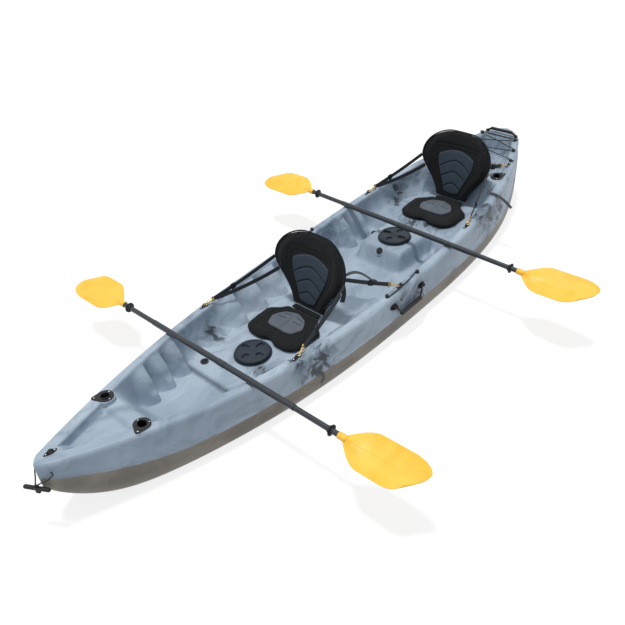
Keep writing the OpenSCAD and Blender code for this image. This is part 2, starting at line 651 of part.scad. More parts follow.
toggle_half = concat([toggle_c + [0, leg, -toggle_d / 2 - 10], toggle_top],
  [for (k = toggle_bend) toggle_hole + k[0] * toggle_drop + [0, leg + k[1] * (toggle_wide - leg), 0]]);
module bow_toggle_cord() {
  color("Black") {
    tube(concat(toggle_half, flip(rev(toggle_half))), bungee_d, ref = [0.95, 0.05, 0.1]);
    translate(toggle_c + [0, 0, -toggle_d / 2 - 2 - toggle_knot / 2 - seat_gap]) sphere(d = toggle_knot);
  }
}

// side carry handles, drawn on the port side
pin_d = 10;
pin_out = 13;
cap_t = 4;
eye_tube = pin_d + 9;
grip_drop = 56;
grip_out = 20;
handle_mid = at(side_handle_x);
module on_side(x) {
  translate([x, side_y(x), side_z(x)]) rotate([side_tilt(x) - 90, 0, 0]) translate([0, 0, seat_gap]) children();
}
module handle_caps() {
  for (s = [-1, 1]) on_side(handle_mid) translate([s * handle_span / 2, 0, 0]) {
    linear_extrude(cap_t) union() {
      square([26, 30], center = true);
      for (k = [-1, 1]) translate([k * 13, 0]) circle(d = 30);
    }
    translate([s * 8 - 5, -9, cap_t - 1]) cube([10, 18, pin_out - cap_t + 1]);
    translate([s * 8 - 5, 0, pin_out]) rotate([0, 90, 0]) cylinder(h = 10, d = 18);
    translate([s * 8, 0, pin_out]) rotate([0, -s * 90, 0]) cylinder(h = 24, d = pin_d);
    for (k = [-1, 1]) translate([k * 21, 0, cap_t]) cylinder(h = 2, d = 8, $fn = 24);
  }
}
module side_handle() {
  on_side(handle_mid) {
    for (s = [-1, 1]) {
      translate([s * (handle_span / 2 - 4), 0, pin_out]) rotate([0, -s * 90, 0]) difference() {
        cylinder(h = 12, d = eye_tube - 2);
        translate([0, 0, -1]) cylinder(h = 14, d = pin_d + 2 * fit_gap);
      }
      end = [s * (handle_span / 2 - 42), grip_drop, grip_out];
      rod_between([s * (handle_span / 2 - 11), 11, pin_out + 3.5], end, 11);
      translate(end) sphere(d = grip_d);
    }
    translate([0, grip_drop, grip_out]) rotate([0, 90, 0])
      cylinder(h = handle_span - 84, d = grip_d, center = true);
  }
}
module port_handle() { color("Black") side_handle(); }
module port_handle_caps() { color("Black") handle_caps(); }
module starboard_handle() { color("Black") mirror([0, 1, 0]) side_handle(); }
module starboard_handle_caps() { color("Black") mirror([0, 1, 0]) handle_caps(); }

// scupper plugs and drain plug
plug_flange = 44;
module scupper_plug(p) {
  color("Black") translate(p) {
    translate([0, 0, seat_gap]) cylinder(h = 4, d = plug_flange);
    translate([0, 0, -28]) cylinder(h = 29, r1 = scupper_r - 2, r2 = scupper_r - fit_gap);
    half_ring(4, 10, 5);
  }
}
module front_port_plug() { scupper_plug(front_scupper); }
module front_starboard_plug() { scupper_plug([front_scupper[0], -front_scupper[1], front_scupper[2]]); }
module rear_port_plug() { scupper_plug(rear_scupper); }
module rear_starboard_plug() { scupper_plug([rear_scupper[0], -rear_scupper[1], rear_scupper[2]]); }
drain_d = 40;
module drain_plug() {
  color("Black") drain_place(0) difference() {
    union() {
      translate([0, 0, seat_gap]) cylinder(h = 4, d = drain_d);
      translate([0, 0, seat_gap]) cylinder(h = 7, d = drain_d - 14);
      translate([0, 0, -20]) cylinder(h = 21, r = drain_r - fit_gap);
    }
    translate([-10, -1.5, 4]) cube([20, 3, 5]);
  }
}

// padded forms: a front and a back grid of the same size, closed round the rim
module padded(front, back) {
  n = len(front);
  m = len(front[0]);
  k = n * m;
  faces = concat(
    [for (i = [0 : n - 2], j = [0 : m - 2]) let(a = i * m + j)
      2 * j < m - 1 ? [a, a + m, a + m + 1] : [a, a + m, a + 1]],
    [for (i = [0 : n - 2], j = [0 : m - 2]) let(a = i * m + j)
      2 * j < m - 1 ? [a, a + m + 1, a + 1] : [a + 1, a + m, a + m + 1]],
    [for (i = [0 : n - 2], j = [0 : m - 2]) let(a = k + i * m + j)
      2 * j < m - 1 ? [a + m + 1, a + m, a] : [a + 1, a + m, a]],
    [for (i = [0 : n - 2], j = [0 : m - 2]) let(a = k + i * m + j)
      2 * j < m - 1 ? [a + 1, a + m + 1, a] : [a + m + 1, a + m, a + 1]],
    [for (j = [0 : m - 2]) [j, j + 1, k + j + 1]],
    [for (j = [0 : m - 2]) [j, k + j + 1, k + j]],
    [for (j = [0 : m - 2]) let(a = (n - 1) * m + j) [a + 1, a, k + a]],
    [for (j = [0 : m - 2]) let(a = (n - 1) * m + j) [a + 1, k + a, k + a + 1]],
    [for (i = [0 : n - 2]) let(a = i * m) [a + m, a, k + a]],
    [for (i = [0 : n - 2]) let(a = i * m) [a + m, k + a, k + a + m]],
    [for (i = [0 : n - 2]) let(a = i * m + m - 1) [a, a + m, k + a + m]],
    [for (i = [0 : n - 2]) let(a = i * m + m - 1) [a, k + a + m, k + a]]);
  points = concat([for (r = front, p = r) p], [for (r = back, p = r) p]);
  polyhedron(points = points, faces = faces, convexity = 6);
}
seat_u = [-1, -0.94, -0.8, -0.63, -0.55, -0.36, -0.2, -0.07, 0, 0.07, 0.2, 0.36, 0.55, 0.63, 0.8, 0.94, 1];
seat_v = [0, 0.04, 0.1, 0.16, 0.24, 0.36, 0.5, 0.62, 0.72, 0.8, 0.9, 0.97, 1];
back_v = [0, 0.03, 0.06, 0.1, 0.18, 0.28, 0.38, 0.48, 0.58, 0.66, 0.74, 0.8, 0.88, 0.94, 0.98, 1];
fold_rise = 20;

// seat cushion: two lobes at the front, a crown and a sewn channel round the insert
function lobes(u) = seat_length - seat_notch * exp(-pow(u / 0.2, 2)) - 46 * pow(abs(u), 6);
function seat_b(v) = 112 + (seat_half - 112) * ease(v / 0.4) - 12 * pow(v, 4);
function seat_crown(u, v) = pow(max(0, (1 - pow(abs(u), 5)) * (1 - pow(abs(2 * v - 1), 7))), 0.5);
function channel(u, v) = exp(-pow((max(abs(u) / 0.63, abs(v - 0.44) / 0.36) - 1) / 0.08, 2));
function seat_top(u, v) = 22 + (seat_thick - 22) * seat_crown(u, v) - 4 * channel(u, v) * seat_crown(u, v)
  - 4 * exp(-pow(u / 0.1, 2)) * seat_crown(u, v) * ease(v);
function seat_pt(u, v, z, k = 1) = [seat_start + lobes(u) * v * k + (1 - k) * 4, seat_b(v) * u * k, z];
module seat_cushion() {
  padded([for (v = seat_v) [for (u = rev(seat_u)) seat_pt(u, v, seat_top(u, v))]],
    [for (v = seat_v) [for (u = rev(seat_u)) seat_pt(u, v, 0, 0.975)]]);
}
insert_u = [for (u = seat_u) if (abs(u) < 0.6) u];
insert_v = [for (v = seat_v) if (v > 0.13 && v < 0.75) v];
function insert_edge(u, v, mid, half) = max(abs(u) / 0.55, abs(v - mid) / half) > 0.97 ? 0.4 : 1;
module seat_pad_insert() {
  padded([for (v = insert_v) [for (u = rev(insert_u)) let(e = insert_edge(u, v, 0.44, 0.28))
      seat_pt(u, v, seat_top(u, v) + seat_gap + insert_thick * e)]],
    [for (v = insert_v) [for (u = rev(insert_u)) seat_pt(u, v, seat_top(u, v) + seat_gap)]]);
}

// backrest: widest at the ears, rounded to the top, hollowed towards the sitter
ear_v = 0.62;
back_set = 28;
back_wrap = 46;
function back_b(v) = v < ear_v ? 108 + (back_half - 108) * ease(v / ear_v * 0.92 + 0.04)
  : 40 + (back_half - 41) * sqrt(max(0, 1 - pow((v - ear_v) / (1 - ear_v), 2.3)));
function back_x(u, v) = -back_set - back_lean * v
  + back_wrap * pow(back_b(v) * u / back_half, 2) * ease(1.6 * v);
function back_fill(u, v) = sqrt(max(0, (1 - pow(abs(u), 4)) * (1 - pow(abs(2 * v - 1), 6))));
function back_channel(u, v) = exp(-pow((max(abs(u) / 0.63, abs(v - 0.42) / 0.38) - 1) / 0.07, 2));
function back_t(u, v) = 10 + (back_thick - 10) * back_fill(u, v);
function back_at(u, v, x) = [back_x(u, v) + x, back_b(v) * u, 2 + back_height * v];
function back_front(u, v, out = 0) =
  back_at(u, v, 0.55 * back_t(u, v) - 4 * back_channel(u, v) * back_fill(u, v) + out);
function back_rear(u, v) = back_at(u, v, -0.45 * back_t(u, v));
module back_cushion() {
  padded([for (v = back_v) [for (u = seat_u) back_front(u, v)]],
    [for (v = back_v) [for (u = seat_u) back_rear(u, v)]]);
  translate([0, -96, 0]) rotate([-90, 0, 0]) cylinder(h = 192, d = bead_d);
  translate([-back_set, -90, -4]) cube([back_set, 180, 8]);
  translate([-back_set - 3, -90, -4]) cube([6, 180, 12]);
}
panel_v = [for (v = back_v) if (v > 0.09 && v < 0.75) v];
module back_pad_insert() {
  padded([for (v = panel_v) [for (u = insert_u) let(e = insert_edge(u, v, 0.42, 0.32))
      back_front(u, v, seat_gap + insert_thick * e)]],
    [for (v = panel_v) [for (u = insert_u) back_front(u, v, seat_gap)]]);
}
front_fold = [at(front_fold_x), 0, front_floor + fold_rise];
rear_fold = [at(rear_fold_x), 0, rear_floor + fold_rise];
module seat_place(fold) { translate([fold[0], 0, fold[2] - fold_rise + seat_gap]) children(); }
module front_seat() { color("#1c1e20") seat_place(front_fold) seat_cushion(); }
module front_seat_insert() { color("#5a5f66") seat_place(front_fold) seat_pad_insert(); }
module front_backrest() { color("#1c1e20") translate(front_fold) back_cushion(); }
module front_back_insert() { color("#2d3a42") translate(front_fold) back_pad_insert(); }
module rear_seat() { color("#1c1e20") seat_place(rear_fold) seat_cushion(); }
module rear_seat_insert() { color("#5a5f66") seat_place(rear_fold) seat_pad_insert(); }
module rear_backrest() { color("#1c1e20") translate(rear_fold) back_cushion(); }
module rear_back_insert() { color("#2d3a42") translate(rear_fold) back_pad_insert(); }

// straps from the backrest to the eyes, with a snap hook at each eye
hook_ring = 9;
hook_wire = 4.4;
hook_len = 58;
hook_reach = hook_ring - hook_wire / 2 - eye_wire / 2 - 0.3;
function eye_mid(x) = let(a = atan(sheer_slope(x)), h = seat_gap + eye_h + eye_leg)
  [x - h * sin(a), crest(x) - eye_in, sheer(x) + h * cos(a)];
function strap_rise(x, to) = let(v = to - eye_mid(x)) atan2(v[2], norm([v[0], v[1]]));
function hook_base(x, side, to) = let(e = strap_rise(x, to)) eye_mid(x) + eye_arch * [side * cos(e), 0, sin(e)];
function hook_end(x, side, to) = let(b = hook_base(x, side, to), d = norm1(to - b)) b + d * (hook_len + 0.95);
module along(a, b) {
  d = norm1(b - a);
  translate(a) rotate([0, -asin(d[2]), atan2(d[1], d[0])]) children();
}
module snap_hook(x, side, to) {
  along(hook_base(x, side, to), to) {
    translate([hook_reach, 0, 0]) rotate_extrude() translate([hook_ring, 0]) circle(d = hook_wire, $fn = 16);
    translate([hook_reach + hook_ring, 0, 0]) rotate([0, 90, 0]) cylinder(h = 22, d = 8, $fn = 24);
    translate([hook_reach + hook_ring + 22, 0, 0]) rotate([0, 90, 0])
      cylinder(h = hook_len - 12 - hook_reach - hook_ring - 22, d = 13, $fn = 24);
    translate([hook_len - 13, -2, -web_w / 2 - 2]) cube([6, 4, web_w + 4]);
    for (s = [-1, 1]) translate([hook_len - 13, -2, s * (web_w / 2 + 2) - 2]) cube([13, 4, 4]);
    translate([hook_len - 4, -2, -web_w / 2 - 2]) cube([4, 4, web_w + 4]);
  }
}
function ear_pt(fold, v, out, dx = 0) = fold + [back_x(1, v) + dx, back_b(v) + out, 2 + back_height * v];
strap_off = web_t / 2 + 0.4;
strap_slack = 0.014;
function upper_start(fold) = ear_pt(fold, 0.58, strap_off + 0.2);
function lower_start(fold) = ear_pt(fold, 0.42, strap_off + 7.2);
function rear_start(fold) = fold + back_at(0.66, 0.56, -0.5 * back_t(0.66, 0.56));
function sag_at(a, b, t, drop) = a + (b - a) * t - [0, 0, drop * norm(b - a) * 4 * t * (1 - t)];
function sag(a, b, n, drop) = [for (i = [0 : n]) sag_at(a, b, i / n, drop)];
module seat_straps(fold, eyes) {
  u = upper_start(fold);
  l = lower_start(fold);
  r = rear_start(fold);
  hf = hook_end(eyes[0], -1, u);
  ribbon(sag(u, hf, 6, strap_slack));
  ribbon(sag(l, hf + [-9, -3.6, -3], 6, strap_slack * 2));
  ha = hook_end(eyes[1], 1, r);
  ribbon(sag(r, ha, 6, strap_slack));
}
module seat_hooks(fold, eyes) {
  snap_hook(eyes[0], -1, upper_start(fold));
  snap_hook(eyes[1], 1, rear_start(fold));
}
module ladder_buckle(a, b, share) {
  along(sag_at(a, b, share, strap_slack), sag_at(a, b, share + 0.1, strap_slack)) difference() {
    translate([-13, -3.5, -web_w / 2 - 4]) cube([26, 7, web_w + 8]);
    translate([-14, -web_t / 2 - 0.9, -web_w / 2 - 0.8]) cube([28, web_t + 1.8, web_w + 1.6]);
    for (x = [-9, 2]) translate([x, -4, -web_w / 2 - 0.8]) cube([7, 8, web_w + 1.6]);
  }
}
module seat_buckles(fold, eyes) {
  ladder_buckle(upper_start(fold), hook_end(eyes[0], -1, upper_start(fold)), 0.7);
  ladder_buckle(rear_start(fold), hook_end(eyes[1], 1, rear_start(fold)), 0.66);
}
module front_straps() { color("#15171a") both_sides() seat_straps(front_fold, front_seat_eyes); }
module front_hooks() { color("Goldenrod") both_sides() seat_hooks(front_fold, front_seat_eyes); }
module front_buckles() { color("Black") both_sides() seat_buckles(front_fold, front_seat_eyes); }
module rear_straps() { color("#15171a") both_sides() seat_straps(rear_fold, rear_seat_eyes); }
module rear_hooks() { color("Goldenrod") both_sides() seat_hooks(rear_fold, rear_seat_eyes); }
module rear_buckles() { color("Black") both_sides() seat_buckles(rear_fold, rear_seat_eyes); }
tail_x = at(-1130);
tail_route = [for (p = [[50, 2.9], [22, 3.0], [4, 2.7], [-12, -3.5], [-40, -14], [-72, -32], [-104, -56]])
  on_crest(tail_x, p[0], p[1])];
module rear_strap_tail() { color("#15171a") ribbon(tail_route, [1, 0, 0]); }

// paddles: two halves on a spigot, blades on the thin ends, drip rings
half_paddle = paddle_length / 2;
neck_len = 34;
thin_len = 250;
spigot_len = 80;
shaft_wall = 2;
paddle_gap = 0.4;
spigot_d = shaft_d - 7;
neck_d = shaft_end_d + 7;
blade_root = half_paddle - blade_length;
thin_start = blade_root - thin_len;
drip_at = blade_root - 45;
function rest_half(x) = crest(x) - gunwale_width / 2;
function rest_port(x, turn) = sheer(x - rest_half(x) * tan(turn));
function rest_starboard(x, turn) = sheer(x + rest_half(x) * tan(turn));
function rest_z(x, turn) = (rest_port(x, turn) + rest_starboard(x, turn)) / 2
  + shaft_d / 2 / cos(atan(sheer_slope(x))) + paddle_gap;
module paddle_place(x, turn) {
  translate([x, 0, rest_z(x, turn)]) rotate([0, 0, turn])
    rotate([atan((rest_port(x, turn) - rest_starboard(x, turn)) / (2 * rest_half(x))), 0, 0])
    translate([0, paddle_offset, 0]) children();
}
module shaft_bar(from, to, d) {
  translate([0, from, 0]) rotate([-90, 0, 0]) cylinder(h = to - from, d = d);
}
module shaft_body() {
  shaft_bar(seat_gap / 2, thin_start, shaft_d);
  shaft_bar(thin_start - 1, blade_root + neck_len - 6, shaft_end_d);
}
module shaft_hollow(from) {
  shaft_bar(from, thin_start - 3, shaft_d - 2 * shaft_wall);
  shaft_bar(from, blade_root + neck_len, shaft_end_d - 2 * shaft_wall);
}
module port_half() {
  difference() {
    union() {
      shaft_body();
      shaft_bar(seat_gap / 2, 46, shaft_d + 3);
    }
    shaft_bar(-1, spigot_len + 3, spigot_d + 2 * fit_gap);
    shaft_hollow(spigot_len + 8);
  }
}
module starboard_half() {
  difference() {
    union() {
      mirror([0, 1, 0]) shaft_body();
      shaft_bar(-12, spigot_len, spigot_d);
    }
    mirror([0, 1, 0]) shaft_hollow(12);
    shaft_bar(-13, spigot_len + 1, spigot_d - 2 * shaft_wall);
  }
}
blade_s = [0, 0.04, 0.09, 0.14, 0.19, 0.25, 0.35, 0.5, 0.68, 0.84, 0.91, 0.96, 0.985, 1];
blade_edge = 3.6;
blade_u = [-1, -0.7, -0.4, -0.14, 0, 0.14, 0.4, 0.7, 1];
function blade_half(s) = blade_w / 2 * sin(90 * min(1, 0.1 + s / 0.27))
  * (1 - 0.36 * pow(max(0, (s - 0.86) / 0.14), 2.2));
function blade_y(s, u) = blade_root + neck_len - 4.5
  + (blade_length - neck_len + 4.5) * s * (1 - 0.19 * (u + 1) / 2 * ease(s));
function blade_mid(s, u) = 10 * pow(u, 2) * ease(s / 0.4) + 20 * s * s - 3;
function blade_ridge(s) = (blade_t + 6 * (1 - ease(s / 0.25)) - blade_edge) * (1 - 0.5 * s);
function blade_thick(s, u) = blade_edge + blade_ridge(s) * pow(max(0, 1 - abs(u)), 1.6);
function blade_spine(s, u) = 16 * (1 - ease(s / 0.35)) * pow(max(0, 1 - abs(u)), 2.5);
function blade_pt(s, u, t) = [blade_half(s) * u, blade_y(s, u),
  blade_mid(s, u) + (1 - t) * blade_spine(s, u) - t * blade_thick(s, u)];
module blade() {
  difference() {
    shaft_bar(blade_root, blade_root + neck_len, neck_d);
    shaft_bar(blade_root - 1, blade_root + neck_len - 5, shaft_end_d + 2 * fit_gap);
  }
  rotate([0, blade_lean, 0])
    padded([for (s = blade_s) [for (u = blade_u) blade_pt(s, u, 0)]],
      [for (s = blade_s) [for (u = blade_u) blade_pt(s, u, 1)]]);
}
module drip_ring() {
  translate([0, drip_at, 0]) rotate([-90, 0, 0]) rotate_extrude() polygon([[shaft_end_d / 2 + fit_gap, -9],
    [shaft_end_d / 2 + 4, -9], [shaft_end_d / 2 + 5, -2], [shaft_end_d / 2 + 14, 4], [shaft_end_d / 2 + 14, 6],
    [shaft_end_d / 2 + 4, 3], [shaft_end_d / 2 + 3, 9], [shaft_end_d / 2 + fit_gap, 9]]);
}
module front_place() { paddle_place(at(front_paddle_x), 0) children(); }
module rear_place() { paddle_place(at(rear_paddle_x), rear_paddle_turn) children(); }
module front_paddle_port() { color("#202226") front_place() port_half(); }
module front_paddle_starboard() { color("#202226") front_place() starboard_half(); }
module front_blade_port() { color("Gold") front_place() blade(); }
module front_blade_starboard() { color("Gold") front_place() rotate([0, 180, 0]) mirror([0, 1, 0]) blade(); }
module front_drip_port() { color("Black") front_place() drip_ring(); }
module front_drip_starboard() { color("Black") front_place() mirror([0, 1, 0]) drip_ring(); }
module rear_paddle_port() { color("#202226") rear_place() port_half(); }
module rear_paddle_starboard() { color("#202226") rear_place() starboard_half(); }
module rear_blade_port() { color("Gold") rear_place() blade(); }
module rear_blade_starboard() { color("Gold") rear_place() rotate([0, 180, 0]) mirror([0, 1, 0]) blade(); }
module rear_drip_port() { color("Black") rear_place() drip_ring(); }
module rear_drip_starboard() { color("Black") rear_place() mirror([0, 1, 0]) drip_ring(); }

hull_shell();
front_hatch_ring();
front_hatch_tub();
front_hatch_seal();
front_hatch_lid();
rear_hatch_ring();
rear_hatch_tub();
rear_hatch_seal();
rear_hatch_lid();
front_rod_holders();
rear_rod_holders();
deck_screws();
strap_eyes();
cord_buttons();
stern_bungee();
stern_handle();
bow_eye();
bow_toggle();
bow_toggle_cord();
port_handle();
port_handle_caps();
port_keeper();
starboard_handle();
starboard_handle_caps();
starboard_keeper();
front_port_plug();
front_starboard_plug();
rear_port_plug();
rear_starboard_plug();
drain_plug();
front_seat();
front_seat_insert();
front_backrest();
front_back_insert();
front_straps();
front_hooks();
front_buckles();
rear_seat();
rear_seat_insert();
rear_backrest();
rear_back_insert();
rear_straps();
rear_hooks();
rear_buckles();
rear_strap_tail();
front_paddle_port();
front_paddle_starboard();
front_blade_port();
front_blade_starboard();
front_drip_port();
front_drip_starboard();
rear_paddle_port();
rear_paddle_starboard();
rear_blade_port();
rear_blade_starboard();
rear_drip_port();
rear_drip_starboard();
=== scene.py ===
"""Tandem kayak with two folding seats, two paddles and its deck fittings, dressed over its solid frame."""

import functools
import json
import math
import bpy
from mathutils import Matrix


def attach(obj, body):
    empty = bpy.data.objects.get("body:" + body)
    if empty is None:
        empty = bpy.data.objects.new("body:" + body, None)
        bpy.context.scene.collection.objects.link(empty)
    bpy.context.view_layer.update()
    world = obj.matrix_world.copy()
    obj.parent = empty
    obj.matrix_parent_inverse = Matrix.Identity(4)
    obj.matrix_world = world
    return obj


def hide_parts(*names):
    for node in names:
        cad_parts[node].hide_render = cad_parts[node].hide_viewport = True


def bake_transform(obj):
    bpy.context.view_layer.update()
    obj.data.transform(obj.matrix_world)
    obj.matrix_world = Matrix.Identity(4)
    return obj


bl_info = {
    "name": "Tandem Kayak",
    "version": (1, 0, 0),
    "blender": (4, 5, 0),
    "location": "3D View > Sidebar > Kayak",
    "description": "Builds the hull, seats, paddles and fittings of a tandem kayak",
    "category": "Add Mesh",
}

import bmesh
import bpy
import numpy as np
from bpy.props import FloatProperty, FloatVectorProperty, PointerProperty
from bpy.types import Operator, Panel, PropertyGroup
from mathutils import Matrix, Vector

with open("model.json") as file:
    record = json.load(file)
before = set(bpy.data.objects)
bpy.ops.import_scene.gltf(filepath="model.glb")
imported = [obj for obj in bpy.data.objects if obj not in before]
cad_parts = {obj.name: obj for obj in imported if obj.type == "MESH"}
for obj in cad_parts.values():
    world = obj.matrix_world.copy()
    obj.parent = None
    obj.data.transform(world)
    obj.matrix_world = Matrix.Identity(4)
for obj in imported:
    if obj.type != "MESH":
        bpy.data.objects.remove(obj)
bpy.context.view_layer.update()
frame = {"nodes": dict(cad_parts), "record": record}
NODES = frame["nodes"]
MM = 0.001
SIDES = ((1, "port"), (-1, "starboard"))


def tint(red, green, blue):
    """A screen colour, 0 to 255, as the linear colour that shaders take."""
    def line(c):
        c /= 255
        return c / 12.92 if c <= 0.04045 else ((c + 0.055) / 1.055) ** 2.4
    return line(red), line(green), line(blue)


def colour(name, description, default):
    return FloatVectorProperty(name=name, description=description, default=default, subtype="COLOR",
                               size=3, min=0, max=1)


def length(name, description, default):
    return amount(name, description, default, unit="LENGTH")


def amount(name, description, default, **more):
    return FloatProperty(name=name, description=description, default=default, min=0, **more)


# Lines of the hull, in millimetres

HALF = 1850
HALF_BEAM, WIDEST_AT = 410, -100
SHEER_MID, SHEER_TILT, SHEER_LIFT = 265, -32.5, 125.5
NOSE_R, TAIL_R = 45, 70
SEAM_LOW = 130
FOOT_FLOOR, SEAT_FLOOR, REAR_FLOOR, CONSOLE_TOP = 100, 113, 165, 200
# how far the decks and wells at the ends lie below the sheer
FORE_DECK, BOW_WELL, REAR_DECK, TANK_WELL = 20, 48, 4, 95
CONSOLE_HALF, CONSOLE_RUN = 135, 45
STEP_ROWS = ((930, 112, 3), (135, 165, 3), (-625, 130, 2))
STEP_DEPTH, STEP_TOE = 36, 12
FRONT_HATCH, REAR_HATCH = (662, 0, SEAT_FLOOR), (-553, 0, CONSOLE_TOP)
FOLDS = {"front": (260, 0, SEAT_FLOOR + 20), "rear": (-1135, 0, REAR_FLOOR + 20)}
EYES = {"front": (670, -90), "rear": (-760, -1456)}
EYE_IN, BOW_EYE_AT = 29, 1770
TOGGLE_HOLE = (1812, 0, 306)


def unit(t):
    return min(1.0, max(0.0, t))


def ease(t):
    c = unit(t)
    return c * c * (3 - 2 * c)


def ramp(x, x0, x1, a, b):
    return a + (b - a) * ease((x - x0) / (x1 - x0))


def bell(t):
    return math.exp(-t * t)


def sheer(x):
    u = x / HALF
    return SHEER_MID + SHEER_TILT * u + SHEER_LIFT * u * u


def sheer_angle(x):
    return math.atan((SHEER_TILT + 2 * SHEER_LIFT * x / HALF) / HALF)


def end_round(x):
    """Share of the width that is left as the ends round off."""
    r = NOSE_R if x > 0 else TAIL_R
    d = (abs(x) - (HALF - r)) / r
    return 1 if d <= 0 else max(0.12, math.sqrt(max(0, 1 - d * d)))


def deck_top(x):
    """Height of the gunwale, which drops a little round the nose."""
    return sheer(x) - (24 * (1 - end_round(x)) if x > 0 else 0)


def crest(x):
    """Half width at the gunwale."""
    if x > WIDEST_AT:
        body = 1 - 0.93 * ((x - WIDEST_AT) / (HALF - WIDEST_AT)) ** 2.3
    else:
        body = 1 - 0.79 * ((WIDEST_AT - x) / (HALF + WIDEST_AT)) ** 3.12
    return end_round(x) * HALF_BEAM * body


def seam_b(x):
    """Half width at the moulding seam."""
    return crest(x) + 20 * end_round(x) * (1 - 0.6 * (abs(x) / HALF) ** 4)


def tip(x, run, n):
    return max(0, (x - run) / (HALF - run)) ** n


def seam_z(x):
    return SEAM_LOW + 156 * tip(x, 1150, 2) + 215 * tip(-x, 1150, 2)


def keel(x):
    return 215 * tip(x, 1300, 3.2) + 300 * tip(-x, 1450, 4)


def flat_b(x):
    """Half width of the flat bottom."""
    return crest(x) * (0.82 - 0.5 * (abs(x) / HALF) ** 3)


def mid_floor(x):
    """Height of the deck and floors along the middle, run by run from bow to stern."""
    s = sheer(x)
    for start, x0, x1, a, b in (
            (1610, 1665, 1745, s - BOW_WELL, deck_top(x) + 3),
            (1410, 1432, 1470, s - FORE_DECK, s - BOW_WELL),
            (1000, 1242, 1392, FOOT_FLOOR, s - FORE_DECK), (450, 783, 813, SEAT_FLOOR, FOOT_FLOOR),
            (-100, 60, 130, FOOT_FLOOR, SEAT_FLOOR), (-553, -432, -342, CONSOLE_TOP, FOOT_FLOOR),
            (-1000, -754, -674, REAR_FLOOR, CONSOLE_TOP), (-1315, -1290, -1210, s - REAR_DECK, REAR_FLOOR),
            (-1560, -1398, -1338, s - TANK_WELL, s - REAR_DECK)):
        if x > start:
            return ramp(x, x0, x1, a, b)
    return ramp(x, -1750, -1690, s + 3, s - TANK_WELL)


def side_floor(x):
    return mid_floor(x) if x > -253 or x < -1000 else ramp(x, -754, -674, REAR_FLOOR, FOOT_FLOOR)


def well_edge(x):
    """Half width of the cockpit and wells at their rim."""
    return max(crest(x) - 52 - 14 * ease((x - 1300) / 150), crest(x) * 0.25)


def floor_z(x, y):
    if -1315 < x < -1000:
        x = max(-1315, x - 60 * (y / well_edge(x)) ** 2)
    low = side_floor(x)
    return low + (mid_floor(x) - low) * ease((CONSOLE_HALF + CONSOLE_RUN - abs(y)) / CONSOLE_RUN)


def step_out(x):
    """How far a foot step stands out of the wall, from 0 to 1."""
    for start, pitch, count in STEP_ROWS:
        d = (x - start) / pitch
        if 0 < d < count:
            d %= 1
            return d / 0.1 if d < 0.1 else 1 if d < 0.45 else unit((0.95 - d) / 0.5)
    return 0


def step_toe(x):
    """The small ledge at the foot of a step, from 0 to 1."""
    for start, pitch, count in STEP_ROWS:
        d = (x - start) / pitch
        if 0 < d < count:
            return bell((d % 1 - 0.24) / 0.13)
    return 0


def on_deck(x, y, lift=0.3):
    """Matrix of a place on the gunwale, its Z square to the sheer."""
    tilt = Matrix.Rotation(-sheer_angle(x), 4, "Y")
    return Matrix.Translation((x, y, sheer(x))) @ tilt @ Matrix.Translation((0, 0, lift))


def within(x, low, high, a, b):
    """1 between two marks, easing from 0 over a run inside each."""
    return ease((x - low) / a) * ease((high - x) / b)


def gutter(x, y):
    """Shallow moulded channels in the floors, as a depth."""
    depth = sum(2.6 * bell((math.hypot(x - hatch[0], y) - 112) / 4) for hatch in (FRONT_HATCH, REAR_HATCH))
    depth += 3.2 * bell((abs(y) - (46 + 40 * ease((x - 900) / 300))) / 6) * within(x, 835, 1235, 30, 40)
    depth += 3.0 * bell((abs(y) - 60) / 6) * within(x, -320, 50, 40, 40)
    return depth + 2.5 * sum(bell((y - k * 48) / 7) for k in range(-2, 3)) * within(x, -1680, -1410, 30, 30)


